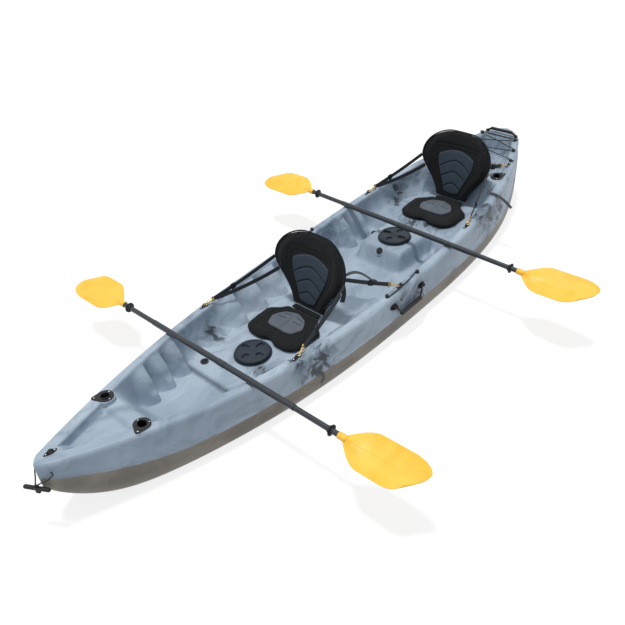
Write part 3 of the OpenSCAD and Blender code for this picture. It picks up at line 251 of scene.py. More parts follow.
def half_section(x):
    """One side of a cross section, from the middle of the bottom to the middle of the deck."""
    e, c, b, zs, zc, wi = end_round(x), crest(x), seam_b(x), deck_top(x), seam_z(x), well_edge(x)
    k, fb = keel(x), flat_b(x)
    rows = [(0, k), (fb * 0.35, k), (fb * 0.7, k), (fb, k)]
    for a in (7, 15, 23, 31, 39, 47, 55, 63, 71, 79):
        s, d = math.sin(math.radians(a)) ** 0.58, math.cos(math.radians(a)) ** 0.58
        rows.append((fb + (b - fb) * s, k + (zc - k) * (1 - d)))
    rows += [(b - 4 * e, zc - 9), (b - 2.4 * e, zc - 5), (b - 1.9 * e, zc - 2.6), (b - 0.2 * e, zc - 1.6),
             (b - 0.2 * e, zc + 1.6), (b - 1.9 * e, zc + 2.6), (b - 3 * e, zc + 5), (b - 5 * e, zc + 9)]
    y0, z0, y1, z1 = b - 5 * e, zc + 9, c + 5 * e, zs - 26
    rows += [(y0 + (y1 - y0) * t, z0 + (z1 - z0) * t) for t in (0.14, 0.28, 0.42, 0.56, 0.7, 0.85)]
    rows += [(c + 5 * e, zs - 27), (c + 4.2 * e, zs - 20.5), (c + 2.7 * e, zs - 15), (c + 0.5 * e, zs - 10.4),
             (c - 2.4 * e, zs - 6.6), (c - 6 * e, zs - 3.6), (c - 10.2 * e, zs - 1.5), (c - 15 * e, zs - 0.3),
             (c - 19 * e, zs)]
    rows += [((c - 19 * e) * (1 - t) + (wi + 15 * e) * t, zs) for t in (0.5, 1)]
    root = wi * 0.76
    deep = zs - floor_z(x, root)
    turn = max(-0.1, min(1, deep / 30))
    rows += [(wi + 11 * e, zs - 0.6 * turn), (wi + 7.4 * e, zs - 2 * turn), (wi + 4.4 * e, zs - 4.4 * turn),
             (wi + 2 * e, zs - 7.8 * turn), (wi + 0.5 * e, zs - 12 * turn)]
    out, toe = step_out(x), step_toe(x)
    for s in (0.12, 0.17, 0.23, 0.3, 0.37, 0.44, 0.52, 0.6, 0.66, 0.71, 0.76, 0.8, 0.86, 0.93, 1):
        a = math.radians(90 * s)
        inward = (1 - math.cos(a)) * (1 - 0.8 * out) + 0.8 * out * s
        drop = math.sin(a) * (1 - 0.8 * out) + 0.8 * out * s
        step = STEP_DEPTH * out * ease(s / 0.45) + STEP_TOE * toe * ease((s - 0.62) / 0.16)
        rows.append((wi - (wi - root) * inward - step, zs - deep * drop))
    wf = root - STEP_DEPTH * out - STEP_TOE * toe
    stops = (wf, min(0.85 * wf, 180), min(0.62 * wf, 135), min(0.3 * wf, 62), 0)
    for outer, inner, parts in zip(stops, stops[1:], (4, 7, 8, 7)):
        for i in range(1, parts + 1):
            y = outer + (inner - outer) * i / parts
            rows.append((y, floor_z(x, y) - gutter(x, y)))
    return rows


def hull_stations():
    """Places of the cross sections, closer at the ends and at the edges of the foot steps."""
    marks = [i * 9.0 for i in range(-197, 200)]
    marks += [HALF - d for d in (0, 1.5, 4, 8, 13, 20, 28, 37, 45)]
    marks += [-HALF + d for d in (0, 2, 5, 10, 17, 26, 36, 48, 60, 70)]
    for start, pitch, count in STEP_ROWS:
        for i in range(count):
            marks += [start + pitch * (i + part) for part in (0.001, 0.05, 0.1, 0.45, 0.95)]
    kept = []
    for x in sorted(marks):
        if abs(x) <= HALF and (not kept or x - kept[-1] > 1.2):
            kept.append(x)
    return kept


# Mesh helpers

def link(name, mesh, *finishes):
    obj = bpy.data.objects.new(name, mesh)
    bpy.context.scene.collection.objects.link(obj)
    for finish in finishes:
        mesh.materials.append(finish)
    return obj


def shape(name, points, faces, *finishes, smooth=None, scale=MM):
    """A mesh object from points in millimetres, its faces turned outwards."""
    mesh = bpy.data.meshes.new(name)
    mesh.from_pydata([Vector(p) * scale for p in points], [], faces)
    turn_out(mesh)
    if smooth is not None:
        soften(mesh, smooth)
    return link(name, mesh, *finishes)


def turn_out(mesh, merge=0.0):
    """Turns the faces outwards, after joining the points that lie closer than merge."""
    bm = bmesh.new()
    bm.from_mesh(mesh)
    if merge:
        bmesh.ops.remove_doubles(bm, verts=bm.verts, dist=merge)
    bmesh.ops.recalc_face_normals(bm, faces=bm.faces)
    bm.to_mesh(mesh)
    bm.free()


def soften(mesh, angle):
    """Smooth shading with edges kept sharp above an angle in degrees."""
    mesh.polygons.foreach_set("use_smooth", [True] * len(mesh.polygons))
    mesh.set_sharp_from_angle(angle=math.radians(angle))


def loft(rows, caps=True):
    """Points and faces of a skin over rings of equal length."""
    n, m = len(rows), len(rows[0])
    points = [p for row in rows for p in row]
    faces = [(i * m + j, i * m + (j + 1) % m, (i + 1) * m + (j + 1) % m, (i + 1) * m + j)
             for i in range(n - 1) for j in range(m)]
    if caps:
        faces += [tuple(range(m)), tuple(range((n - 1) * m, n * m))]
    return points, faces


def tube_rows(path, radius, ref=(0.13, 0.29, 0.95), sides=10):
    """Rings round a path, each square to it."""
    rows = []
    for i, p in enumerate(path):
        t = (Vector(path[min(i + 1, len(path) - 1)]) - Vector(path[max(i - 1, 0)])).normalized()
        a = t.cross(Vector(ref)).normalized()
        b = t.cross(a)
        turns = [2 * math.pi * k / sides for k in range(sides)]
        rows.append([Vector(p) + radius * (math.cos(w) * a + math.sin(w) * b) for w in turns])
    return rows


def spline(points, parts=8):
    """A smooth path through points, by Catmull-Rom spans."""
    pts = [Vector(p) for p in points]
    pts = [2 * pts[0] - pts[1]] + pts + [2 * pts[-1] - pts[-2]]
    path = []
    for i in range(1, len(pts) - 2):
        a, b, c, d = pts[i - 1:i + 3]
        for k in range(parts):
            t = k / parts
            path.append(0.5 * (2 * b + (c - a) * t + (2 * a - 5 * b + 4 * c - d) * t * t
                               + (3 * b - a - 3 * c + d) * t ** 3))
    return path + [pts[-2]]


def cylinder(bm, matrix, radius, low, high, sides=48):
    """A closed cylinder in a bmesh, along the matrix's Z from low to high."""
    middle = matrix @ Matrix.Translation((0, 0, (low + high) / 2))
    bmesh.ops.create_cone(bm, cap_ends=True, segments=sides, radius1=radius, radius2=radius,
                          depth=high - low, matrix=middle)


def from_bmesh(name, bm, *finishes, smooth=None, scale=MM):
    """A mesh object from a bmesh in millimetres, its faces turned outwards."""
    mesh = bpy.data.meshes.new(name)
    bmesh.ops.recalc_face_normals(bm, faces=bm.faces)
    bmesh.ops.scale(bm, vec=(scale, scale, scale), verts=bm.verts)
    bm.to_mesh(mesh)
    bm.free()
    if smooth is not None:
        soften(mesh, smooth)
    return link(name, mesh, *finishes)


def settled(obj):
    """The evaluated mesh of an object as a plain mesh, its modifiers removed."""
    bpy.context.view_layer.update()
    mesh = bpy.data.meshes.new_from_object(obj.evaluated_get(bpy.context.evaluated_depsgraph_get()))
    obj.modifiers.clear()
    if obj.type == "MESH":
        obj.data = mesh
        return obj
    name = obj.name
    bpy.data.objects.remove(obj)
    return link(name, mesh)


def carve(obj, tool, operation):
    """Adds a tool to an object or cuts it away, and uses the tool up."""
    cut = obj.modifiers.new("carve", "BOOLEAN")
    cut.operation, cut.solver, cut.object = operation, "EXACT", tool
    settled(obj)
    bpy.data.objects.remove(tool)


# Finishes

class Value:
    """A shader socket that takes part in Python sums."""

    def __init__(self, finish, socket):
        self.finish, self.socket = finish, socket

    def sum(self, operation, *others, turned=False):
        terms = [self, *others]
        if turned:
            terms.reverse()
        return self.finish.add("ShaderNodeMath", dict(enumerate(terms)), operation=operation)

    def __add__(self, other):
        return self.sum("ADD", other)

    def __sub__(self, other):
        return self.sum("SUBTRACT", other)

    def __rsub__(self, other):
        return self.sum("SUBTRACT", other, turned=True)

    def __mul__(self, other):
        return self.sum("MULTIPLY", other)

    __radd__, __rmul__ = __add__, __mul__

    def over(self, other):
        return self.sum("MAXIMUM", other)

    def under(self, other):
        return self.sum("MINIMUM", other)

    def size(self):
        return self.sum("ABSOLUTE")

    def wave(self):
        return self.sum("SINE")

    def part(self):
        return self.sum("FRACT")

    def step(self, low, high):
        """Smooth step from 0 at low to 1 at high."""
        return self.finish.add("ShaderNodeMapRange", {"Value": self, "From Min": low, "From Max": high},
                               interpolation_type="SMOOTHSTEP")


class Finish:
    """One procedural material under construction."""

    def __init__(self, name, **fixed):
        self.material = bpy.data.materials.new(name)
        self.material.use_nodes = True
        self.tree = self.material.node_tree
        self.shader = self.tree.nodes["Principled BSDF"]
        for socket, value in fixed.items():
            self.shader.inputs[socket.replace("_", " ")].default_value = value

    def add(self, kind, sockets=None, output=0, **settings):
        node = self.tree.nodes.new(kind)
        for key, value in settings.items():
            setattr(node, key, value)
        for key, value in (sockets or {}).items():
            if isinstance(value, Value):
                self.tree.links.new(value.socket, node.inputs[key])
            elif node.inputs[key].type == "RGBA" and len(value) == 3:
                node.inputs[key].default_value = (*value, 1)
            else:
                node.inputs[key].default_value = value
        return Value(self, node.outputs[output])

    def place(self):
        return self.add("ShaderNodeTexCoord", output="Object")

    def attribute(self, name):
        return self.add("ShaderNodeAttribute", output="Fac", attribute_name=name)

    def axes(self, vector):
        split = self.add("ShaderNodeSeparateXYZ", {0: vector}).socket.node
        return [Value(self, socket) for socket in split.outputs]

    def noise(self, vector, scale, detail=2.0, rough=0.5, distortion=0.0):
        return self.add("ShaderNodeTexNoise", {"Vector": vector, "Scale": scale, "Detail": detail,
                                               "Roughness": rough, "Distortion": distortion}, output="Fac")

    def mix(self, amount, a, b):
        return self.add("ShaderNodeMix", {0: amount, 6: a, 7: b}, output=2, data_type="RGBA")

    def shade(self, tone, amount):
        """A colour darkened or lightened by a factor that is 1 where it stays."""
        grey = self.add("ShaderNodeCombineXYZ", {0: amount, 1: amount, 2: amount})
        return self.add("ShaderNodeVectorMath", {0: tone, 1: grey}, operation="MULTIPLY")

    def feed(self, **sockets):
        for name, value in sockets.items():
            self.tree.links.new(value.socket, self.shader.inputs[name.replace("_", " ")])

    def bump(self, height, strength, distance):
        normal = self.add("ShaderNodeBump", {"Height": height, "Strength": strength, "Distance": distance})
        self.feed(Normal=normal)


@functools.cache
def finish_of(slot):
    """The finish of a material slot, made once."""
    return RECIPES[slot]()


def chosen(group):
    """One group of the panel's settings."""
    return getattr(bpy.context.scene, "kayak_" + group)


# where the moulding swirls, and a few patches of painted shade: x, y, z and reach in metres, first the soft
# smoke, then the dark ink
SMOKE_AND_SHADE_SPOTS = (
    # (-0.11, 0.41, 0.21) is painted shade in the recess of the port side handle; (0.00, 0.12, 0.10) on the
    # next line is a painted shadow under the front seat's straps
    (0.72, 0.17, 0.11, 0.15), (0.62, 0.38, 0.22, 0.19), (-0.11, 0.41, 0.21, 0.20),
    (0.00, 0.12, 0.10, 0.13), (-0.85, 0.00, 0.165, 0.22), (-0.90, 0.14, 0.165, 0.15),
    (-1.00, 0.36, 0.28, 0.21), (-1.60, 0.00, 0.30, 0.22), (-1.72, 0.05, 0.35, 0.13),
    (0.70, -0.27, 0.14, 0.13), (-1.00, -0.29, 0.22, 0.14), (-0.30, -0.41, 0.20, 0.24),
    (0.75, -0.36, 0.22, 0.20), (-1.25, -0.30, 0.30, 0.20), (1.30, 0.12, 0.18, 0.12),
    (-1.35, 0.30, 0.34, 0.12),
)
INK_AND_SHADE_SPOTS = (
    (0.59, 0.40, 0.16, 0.15), (0.54, 0.40, 0.22, 0.10), (0.68, 0.37, 0.25, 0.08),
    (-1.00, 0.37, 0.26, 0.15), (-1.17, 0.345, 0.23, 0.15), (-0.89, 0.38, 0.30, 0.10),
    # (-0.20, 0.42, 0.15) is painted shade in the recess of the port side handle
    (-0.20, 0.42, 0.15, 0.08), (-0.05, 0.42, 0.22, 0.06), (-0.87, 0.07, 0.165, 0.12),
    (-0.80, -0.04, 0.165, 0.08), (-0.93, 0.14, 0.165, 0.08), (0.70, -0.24, 0.12, 0.07),
    (0.70, -0.28, 0.15, 0.05), (-1.01, -0.295, 0.22, 0.06), (-0.95, -0.28, 0.18, 0.06),
    (-0.98, -0.31, 0.27, 0.05), (-1.48, 0.05, 0.28, 0.10), (0.73, 0.16, 0.113, 0.08),
    (-0.45, -0.42, 0.16, 0.15), (0.85, -0.37, 0.18, 0.13),
)


def hull_finish():
    look = chosen("hull")
    f = Finish("hull_plastic", IOR=1.5, Specular_IOR_Level=0.36)
    place = f.place()
    drift = f.add("ShaderNodeTexNoise", {"Vector": place, "Scale": 3.4, "Detail": 2.0}, output="Color")
    pull = f.add("ShaderNodeVectorMath", {0: drift, 1: (0.5, 0.5, 0.5)}, operation="SUBTRACT")
    pull = f.add("ShaderNodeVectorMath", {0: pull, "Scale": 0.26}, operation="SCALE")
    warped = f.add("ShaderNodeVectorMath", {0: place, 1: pull}, operation="ADD")
    along = f.add("ShaderNodeMapping", {"Vector": warped, "Rotation": (0, 0, 0.4), "Scale": (1, 2.0, 1.6)})

    def near(spots):
        """1 at the middle of a spot, swirl and painted shade alike, 0 at its reach, a little below 0
        elsewhere.
        """
        total = None
        for x, y, z, reach in spots:
            gap = f.add("ShaderNodeVectorMath", {0: place, 1: (x, y, z)}, "Value", operation="DISTANCE")
            spot = 1 - gap * (1 / reach)
            total = spot if total is None else total.over(spot)
        return total.over(-0.6)

    smoke_and_shade_near, ink_and_shade_near = near(SMOKE_AND_SHADE_SPOTS), near(INK_AND_SHADE_SPOTS)
    smoke = (f.noise(along, 5.5, 4.0, 0.55, 1.5) + smoke_and_shade_near * 0.28).step(0.50, 0.84) * 0.85
    vein = (1 - (f.noise(along, 3.6, 3.0, 0.5, 1.8) - 0.5).size() * 26).over(0)
    vein = vein * (ink_and_shade_near * 1.5 + 0.3).over(0).under(1)
    ink = (f.noise(along, 7.5, 5.0, 0.6, 1.9) + ink_and_shade_near * 0.34).step(0.64, 0.80)
    veil = f.noise(along, 4.4, 4.0, 0.58, 1.2).step(0.48, 0.72) * 0.5
    cloud = f.noise(along, 1.7, 4.0, 0.6)
    skin = f.mix(cloud.step(0.32, 0.68), look.shell, look.shell_pale)
    skin = f.shade(skin, 0.965 + f.noise(place, 420.0, 2.0, 0.6) * 0.07)
    # the smoke and ink colours paint the swirls and, at the few spots listed as such, painted shade
    skin = f.mix(smoke.over(veil) * look.swirl_amount, skin, look.smoke)
    skin = f.mix(ink.over(vein * 0.55) * look.swirl_amount, skin, look.ink)
    # below the seam the shell is painted darker and warmer: a painted reflection of the ground and painted
    # shade, with the dark swirls kept over it
    bottom = f.mix(f.noise(along, 3.0, 5.0, 0.6, 0.6).step(0.35, 0.7), look.bottom, look.ground_reflection_dark)
    bottom = f.mix(ink.over(vein * 0.35) * look.swirl_amount, bottom, look.ink)
    # low is where that painted reflection and shade cover the shell, blurred across the seam
    low = f.attribute("below_seam") + (f.noise(along, 5.0, 4.0, 0.6, 1.2) - 0.5) * 0.3
    f.feed(Base_Color=f.mix(low.step(0.42, 0.60), skin, bottom))
    scuff = f.noise(place, 36.0, 5.0, 0.65)
    f.feed(Roughness=0.38 + scuff * 0.16)
    peel = f.noise(place, 260.0, 2.0, 0.5) * 0.5 + f.noise(place, 30.0, 2.0, 0.5)
    f.bump(peel, 0.10, 0.002)
    return f.material


def moulded(name, tone, roughness, grain=900.0):
    """A moulded plastic or rubber: fine grain, slight cloudiness, dust that greys it a little."""
    f = Finish(name, Specular_IOR_Level=0.3)
    place = f.place()
    cloud = f.noise(place, 24.0, 4.0, 0.6)
    fine = f.noise(place, grain, 2.0, 0.5)
    pale = tuple(min(1, c * 1.5 + 0.012) for c in tone)
    f.feed(Base_Color=f.mix((cloud.step(0.42, 0.75) * 0.24 + fine * 0.06).under(1), tone, pale))
    f.feed(Roughness=roughness + (cloud - 0.5) * 0.18)
    f.bump(fine + cloud * 0.6, 0.16, 0.0006)
    return f.material


def steel_finish():
    f = Finish("stainless_steel", Metallic=1.0)
    place = f.place()
    brush = f.noise(f.add("ShaderNodeMapping", {"Vector": place, "Scale": (1, 14, 1)}), 500.0, 3.0, 0.6)
    f.feed(Base_Color=f.mix(brush, tint(186, 189, 194), tint(226, 228, 230)), Roughness=0.22 + brush * 0.2)
    f.bump(brush, 0.08, 0.0002)
    return f.material


def brass_finish():
    f = Finish("brass", Metallic=1.0)
    place = f.place()
    tarnish = f.noise(place, 70.0, 5.0, 0.65)
    fine = f.noise(place, 800.0, 2.0)
    f.feed(Base_Color=f.mix(tarnish.step(0.45, 0.8), chosen("fittings").brass, tint(146, 108, 48)))
    f.feed(Roughness=0.26 + tarnish * 0.25)
    f.bump(fine + tarnish, 0.08, 0.0004)
    return f.material


def cord_finish():
    """Braided cover: two sets of strands that cross as they run along the cord."""
    f = Finish("black_cord", Roughness=0.75)
    run, turn = f.attribute("run"), f.attribute("turn")
    a = (run * 520 + turn * 25.13).wave()
    b = (run * 520 - turn * 25.13).wave()
    braid = a.over(b)
    fleck = f.noise(f.place(), 300.0, 2.0)
    pale = (braid * 0.5 + 0.5) * 0.5 + fleck.step(0.62, 0.7) * 0.4
    f.feed(Base_Color=f.mix(pale, tint(14, 15, 17), tint(52, 56, 61)))
    f.feed(Roughness=0.62 + fleck * 0.25)
    f.bump(braid, 0.5, 0.0006)
    return f.material


def cloth(name, tone, light, weave=1500.0, ribbed=False):
    """Woven cover, thread by thread on all three axes; on ribbed panels the sewn grooves get painted shade.
    """
    f = Finish(name, Sheen_Weight=0.06, Sheen_Roughness=0.5, Specular_IOR_Level=0.2)
    place = f.place()
    x, y, z = f.axes(place)
    warp = ((x + z * 0.6) * weave).wave()
    weft = ((y - z * 0.8) * weave).wave()
    thread = warp * weft
    patch = f.noise(place, 18.0, 4.0, 0.6)
    lint = f.noise(place, 190.0, 3.0, 0.6)
    worn = thread * 0.25 + 0.3 + patch.step(0.4, 0.7) * 0.3 + lint.step(0.6, 0.72) * 0.25
    skin = f.mix(worn.under(1), tone, light)
    # painted shade: the sewn grooves, marked by rib, are darkened
    if ribbed:
        skin = f.shade(skin, 1 - f.attribute("rib").step(0.25, 0.95) * 0.62)
    f.feed(Base_Color=skin, Roughness=0.82 + (lint - 0.5) * 0.2)
    f.bump(thread * 0.5 + lint * 0.8 + patch * 3.0, 0.35, 0.0008)
    return f.material


def webbing_finish():
    """Flat woven webbing: herringbone along the strap, a denser selvedge at both edges."""
    f = Finish("webbing", Roughness=0.7)
    run, across = f.attribute("run"), f.attribute("across")
    zig = (across * 7).part()
    bone = ((zig - 0.5).size() * 6.0 + run * 900).wave()
    edge = (across - 0.5).size().step(0.40, 0.46)
    fleck = f.noise(f.place(), 260.0, 2.0)
    pale = (bone * 0.22 + 0.3 + fleck * 0.3 - edge * 0.2).over(0)
    f.feed(Base_Color=f.mix(pale, chosen("seats").web, tint(66, 71, 78)))
    f.feed(Roughness=0.6 + fleck * 0.25)
    f.bump(bone * 0.5 + edge, 0.4, 0.0006)
    return f.material


def stitch_finish():
    f = Finish("stitch_thread", Roughness=0.7)
    fleck = f.noise(f.place(), 900.0, 2.0)
    f.feed(Base_Color=f.mix(fleck, tint(46, 52, 58), tint(96, 104, 112)))
    return f.material


def shaft_finish():
    f = Finish("shaft_aluminium", IOR=1.5)
    place = f.place()
    grain = f.noise(f.add("ShaderNodeMapping", {"Vector": place, "Scale": (6, 1, 6)}), 60.0, 4.0, 0.6)
    rub = f.noise(place, 22.0, 4.0, 0.7).step(0.58, 0.72)
    worn = (grain * 0.4 + rub * 0.35).under(1)
    f.feed(Base_Color=f.mix(worn, chosen("paddles").shaft, tint(66, 76, 88)))
    f.feed(Roughness=0.30 + grain * 0.12 + rub * 0.12)
    f.bump(grain, 0.06, 0.0004)
    return f.material


def blade_finish():
    f = Finish("blade_plastic", IOR=1.46)
    place = f.place()
    flow = f.noise(place, 9.0, 4.0, 0.6, 0.6)
    scratch = f.noise(f.add("ShaderNodeMapping", {"Vector": place, "Scale": (1, 9, 9)}), 55.0, 4.0, 0.7)
    look = chosen("paddles")
    tone = f.mix(flow.step(0.3, 0.75), look.blade, look.blade_deep)
    f.feed(Base_Color=f.shade(tone, 1.02 - scratch.step(0.62, 0.7) * 0.10))
    f.feed(Roughness=0.34 + scratch * 0.16)
    f.bump(flow * 2 + scratch * 0.4, 0.10, 0.0008)
    return f.material


RECIPES = {
    "hull_plastic": hull_finish, "stainless_steel": steel_finish, "brass": brass_finish,
    "black_cord": cord_finish, "webbing": webbing_finish, "stitch_thread": stitch_finish,
    "shaft_aluminium": shaft_finish, "blade_plastic": blade_finish,
    "hatch_plastic": lambda: moulded("hatch_plastic", chosen("fittings").hatch, 0.42),
    "black_plastic": lambda: moulded("black_plastic", chosen("fittings").plastic, 0.44),
    "tub_plastic": lambda: moulded("tub_plastic", tint(62, 66, 72), 0.5),
    "seal_rubber": lambda: moulded("seal_rubber", tint(26, 26, 27), 0.7, 1400.0),
    "plug_rubber": lambda: moulded("plug_rubber", tint(38, 40, 43), 0.66, 1200.0),
    "black_padding": lambda: cloth("black_padding", chosen("seats").padding, tint(24, 28, 31)),
    "slate_padding": lambda: cloth("slate_padding", chosen("seats").back_panel, tint(66, 78, 90),
                                   1200.0, ribbed=True),
    "grey_padding": lambda: cloth("grey_padding", chosen("seats").seat_panel, tint(108, 114, 122),
                                  1200.0, ribbed=True),
}


def dress(node, slot):
    """Gives a CAD node its procedural finish."""
    mesh = NODES[node].data
    mesh.materials.clear()
    mesh.materials.append(finish_of(slot))


def settle_on(obj, body, slot, *nodes, fill=None):
    """Rides on its body and stands for its nodes, which it hides; fill is not used."""
    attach(obj, body)
    slot in [m["slot"] for m in frame["record"]["materials"]]
    if nodes:
        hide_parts(*nodes)
    return obj


# Node trees for what repeats

class Grower:
    """A Geometry Nodes tree under construction."""

    def __init__(self, name, **inputs):
        self.group = bpy.data.node_groups.new(name, "GeometryNodeTree")
        face = self.group.interface
        face.new_socket("Geometry", in_out="INPUT", socket_type="NodeSocketGeometry")
        self.names = {}
        for key, (kind, value) in inputs.items():
            socket = face.new_socket(key, in_out="INPUT", socket_type="NodeSocket" + kind)
            if value is not None:
                socket.default_value = value
            self.names[key] = socket.identifier
        face.new_socket("Geometry", in_out="OUTPUT", socket_type="NodeSocketGeometry")
        self.entry = self.group.nodes.new("NodeGroupInput")
        self.exit = self.group.nodes.new("NodeGroupOutput")

    def get(self, key):
        return self.entry.outputs[key]

    def add(self, kind, sockets=None, output=0, **settings):
        node = self.group.nodes.new(kind)
        for key, value in settings.items():
            setattr(node, key, value)
        for key, value in (sockets or {}).items():
            if isinstance(value, bpy.types.NodeSocket):
                self.group.links.new(value, node.inputs[key])
            else:
                node.inputs[key].default_value = value
        return node.outputs[output]

    def spread(self, points, piece, aim):
        """One piece on each point, its Z along the aim."""
        turn = self.add("FunctionNodeAlignRotationToVector", {"Vector": aim}, axis="Z")
        sockets = {"Points": points, "Instance": piece, "Rotation": turn}
        return self.add("GeometryNodeInstanceOnPoints", sockets)

    def close(self, geometry):
        whole = self.add("GeometryNodeRealizeInstances", {0: geometry})
        done = self.add("GeometryNodeSetMaterial", {"Geometry": whole, "Material": self.get("Finish")})
        self.group.links.new(done, self.exit.inputs[0])
        return self

    def grow(self, obj, **values):
        """Runs the tree on an object and leaves a plain mesh."""
        made = obj.modifiers.new(self.group.name, "NODES")
        made.node_group = self.group
        for key, value in values.items():
            made[self.names[key]] = value
        return settled(obj)


@functools.cache
def cord_tree():
    """A round cord along a curve, with its run and turn stored for the braid."""
    t = Grower("cord_on_path", Radius=("Float", 0.003), Sides=("Int", 12), Step=("Float", 0.006),
               Finish=("Material", None))

    def stored(geometry, name, measure):
        value = t.add("GeometryNodeSplineParameter", output=measure)
        return t.add("GeometryNodeStoreNamedAttribute", {"Geometry": geometry, "Name": name, "Value": value},
                     data_type="FLOAT", domain="POINT")

    path = t.add("GeometryNodeResampleCurve", {"Curve": t.get("Geometry"), "Length": t.get("Step")},
                 mode="LENGTH")
    path = stored(path, "run", "Length")
    ring = t.add("GeometryNodeCurvePrimitiveCircle", {"Resolution": t.get("Sides"),
                                                      "Radius": t.get("Radius")})
    ring = stored(ring, "turn", "Factor")
    skin = t.add("GeometryNodeCurveToMesh", {"Curve": path, "Profile Curve": ring, "Fill Caps": True})
    return t.close(t.add("GeometryNodeSetShadeSmooth", {"Geometry": skin}))


@functools.cache
def stitch_tree():
    """Short threads laid end to end along a path of edges."""
    t = Grower("stitches_on_path", Pitch=("Float", 0.006), Length=("Float", 0.004), Radius=("Float", 0.0006),
               Finish=("Material", None))
    path = t.add("GeometryNodeMeshToCurve", {"Mesh": t.get("Geometry")})
    path = t.add("GeometryNodeResampleCurve", {"Curve": path, "Length": t.get("Pitch")}, mode="LENGTH")
    thread = t.add("GeometryNodeMeshCylinder", {"Vertices": 6, "Radius": t.get("Radius"),
                                                "Depth": t.get("Length")})
    return t.close(t.spread(path, thread, t.add("GeometryNodeInputTangent")))


@functools.cache
def screw_tree():
    """Pan-head screws with a cross recess, one on each point, along the point's aim."""
    t = Grower("pan_head_screws", Diameter=("Float", 0.007), Height=("Float", 0.0024),
               Finish=("Material", None))

    def part(share):
        return t.add("ShaderNodeMath", {0: t.get("Diameter"), 1: share}, operation="MULTIPLY")

    def sized(x, y):
        return t.add("ShaderNodeCombineXYZ", {0: x, 1: y, 2: t.get("Height")})

    head = t.add("GeometryNodeMeshUVSphere", {"Segments": 20, "Rings": 12, "Radius": 1.0})
    radius, long, thin = part(0.5), part(0.56), part(0.14)
    head = t.add("GeometryNodeTransform", {"Geometry": head, "Scale": sized(radius, radius)})
    lift = t.add("ShaderNodeCombineXYZ", {2: t.get("Height")})
    bars = []
    for a, b in ((long, thin), (thin, long)):
        bar = t.add("GeometryNodeMeshCube", {"Size": sized(a, b)})
        bars.append(t.add("GeometryNodeTransform", {"Geometry": bar, "Translation": lift}))
    cross = t.add("GeometryNodeMeshBoolean", {"Mesh 2": bars[0]}, operation="UNION", solver="EXACT")
    t.group.links.new(bars[1], cross.node.inputs["Mesh 2"])
    head = t.add("GeometryNodeMeshBoolean", {"Mesh 1": head, "Mesh 2": cross}, operation="DIFFERENCE",
                 solver="EXACT")
    aim = t.add("GeometryNodeInputNamedAttribute", {"Name": "aim"}, data_type="FLOAT_VECTOR")
    return t.close(t.spread(t.get("Geometry"), head, aim))


def points_object(name, points, aims):
    mesh = bpy.data.meshes.new(name)
    mesh.from_pydata([Vector(p) * MM for p in points], [], [])
    aim = mesh.attributes.new("aim", "FLOAT_VECTOR", "POINT")
    aim.data.foreach_set("vector", [c for a in aims for c in a])
    return link(name, mesh)


def cord_object(name, path, diameter):
    curve = bpy.data.curves.new(name, "CURVE")
    curve.dimensions = "3D"
    line = curve.splines.new("POLY")
    line.points.add(len(path) - 1)
    for point, p in zip(line.points, path):
        point.co = (*(Vector(p) * MM), 1)
    return cord_tree().grow(link(name, curve), Radius=diameter * MM / 2, Finish=finish_of("black_cord"))


def stitched(name, path, pitch):
    """Threads along a closed path."""
    mesh = bpy.data.meshes.new(name)
    mesh.from_pydata([Vector(p) * MM for p in path], [(i, (i + 1) % len(path)) for i in range(len(path))], [])
    return stitch_tree().grow(link(name, mesh), Pitch=pitch, Length=pitch * 0.66, Radius=0.00065,
                              Finish=finish_of("stitch_thread"))


# Settings

class KayakStage(PropertyGroup):
    floor: colour("Floor", "Colour of the floor", (0.65, 0.65, 0.65))
    sun: amount("Sun", "Strength of the soft key light", 2.15)
    sun_angle: amount("Sun size", "Apparent size of the key light", math.radians(8), subtype="ANGLE")
    sky: amount("Sky", "Strength of the even light from all sides", 0.50)


class KayakHull(PropertyGroup):
    shell: colour("Shell", "Colour of the moulded shell", tint(143, 160, 177))
    shell_pale: colour("Pale shell", "Colour of the paler clouds in the shell", tint(171, 186, 201))
    # smoke and ink also colour the few spots of painted shade listed with the swirls
    smoke: colour("Smoke", "Colour of the soft swirls moulded into the shell", tint(106, 122, 139))
    ink: colour("Ink", "Colour of the dark swirls moulded into the shell", tint(46, 52, 60))
    swirl_amount: amount("Swirl amount", "How strong the swirls are", 0.9, subtype="FACTOR", max=1)
    # bottom and its darker clouds are a painted reflection of the ground and painted shade below the seam,
    # not a second plastic colour
    bottom: colour("Bottom", "Colour below the seam", tint(138, 131, 122))
    ground_reflection_dark: colour("Dark bottom", "Colour of the darker clouds below the seam", tint(112, 107, 101))


class KayakSeats(PropertyGroup):
    padding: colour("Padding", "Colour of the padded cover", tint(11, 14, 16))
    back_panel: colour("Back panel", "Colour of the ribbed panel of the backrest", tint(50, 61, 73))
    seat_panel: colour("Seat panel", "Colour of the ribbed panel of the cushion", tint(84, 92, 102))
    web: colour("Webbing", "Colour of the straps", tint(20, 22, 24))
    pressure: amount("Pressure", "Air pressure that fills the padded covers", 4.0)
    voxel: length("Voxel", "Cell size of the padded covers before filling", 0.005)
    stitch: length("Stitch", "Pitch of the sewn seams", 0.007)


class KayakPaddles(PropertyGroup):
    blade: colour("Blade", "Colour of the blades", tint(255, 203, 76))
    blade_deep: colour("Deep blade", "Colour of the deeper clouds in the blades", tint(250, 190, 54))
    shaft: colour("Shaft", "Colour of the shafts", tint(22, 27, 33))


class KayakFittings(PropertyGroup):
    plastic: colour("Plastic", "Colour of handles, eyes and rod holders", tint(26, 28, 31))
    hatch: colour("Hatch", "Colour of the hatch lids and rings", tint(34, 44, 55))
    brass: colour("Brass", "Colour of the snap hooks", tint(200, 174, 122))
    cord: length("Cord", "Diameter of the bungee cord", 0.006)
    screw: length("Screw", "Diameter of a screw head", 0.007)


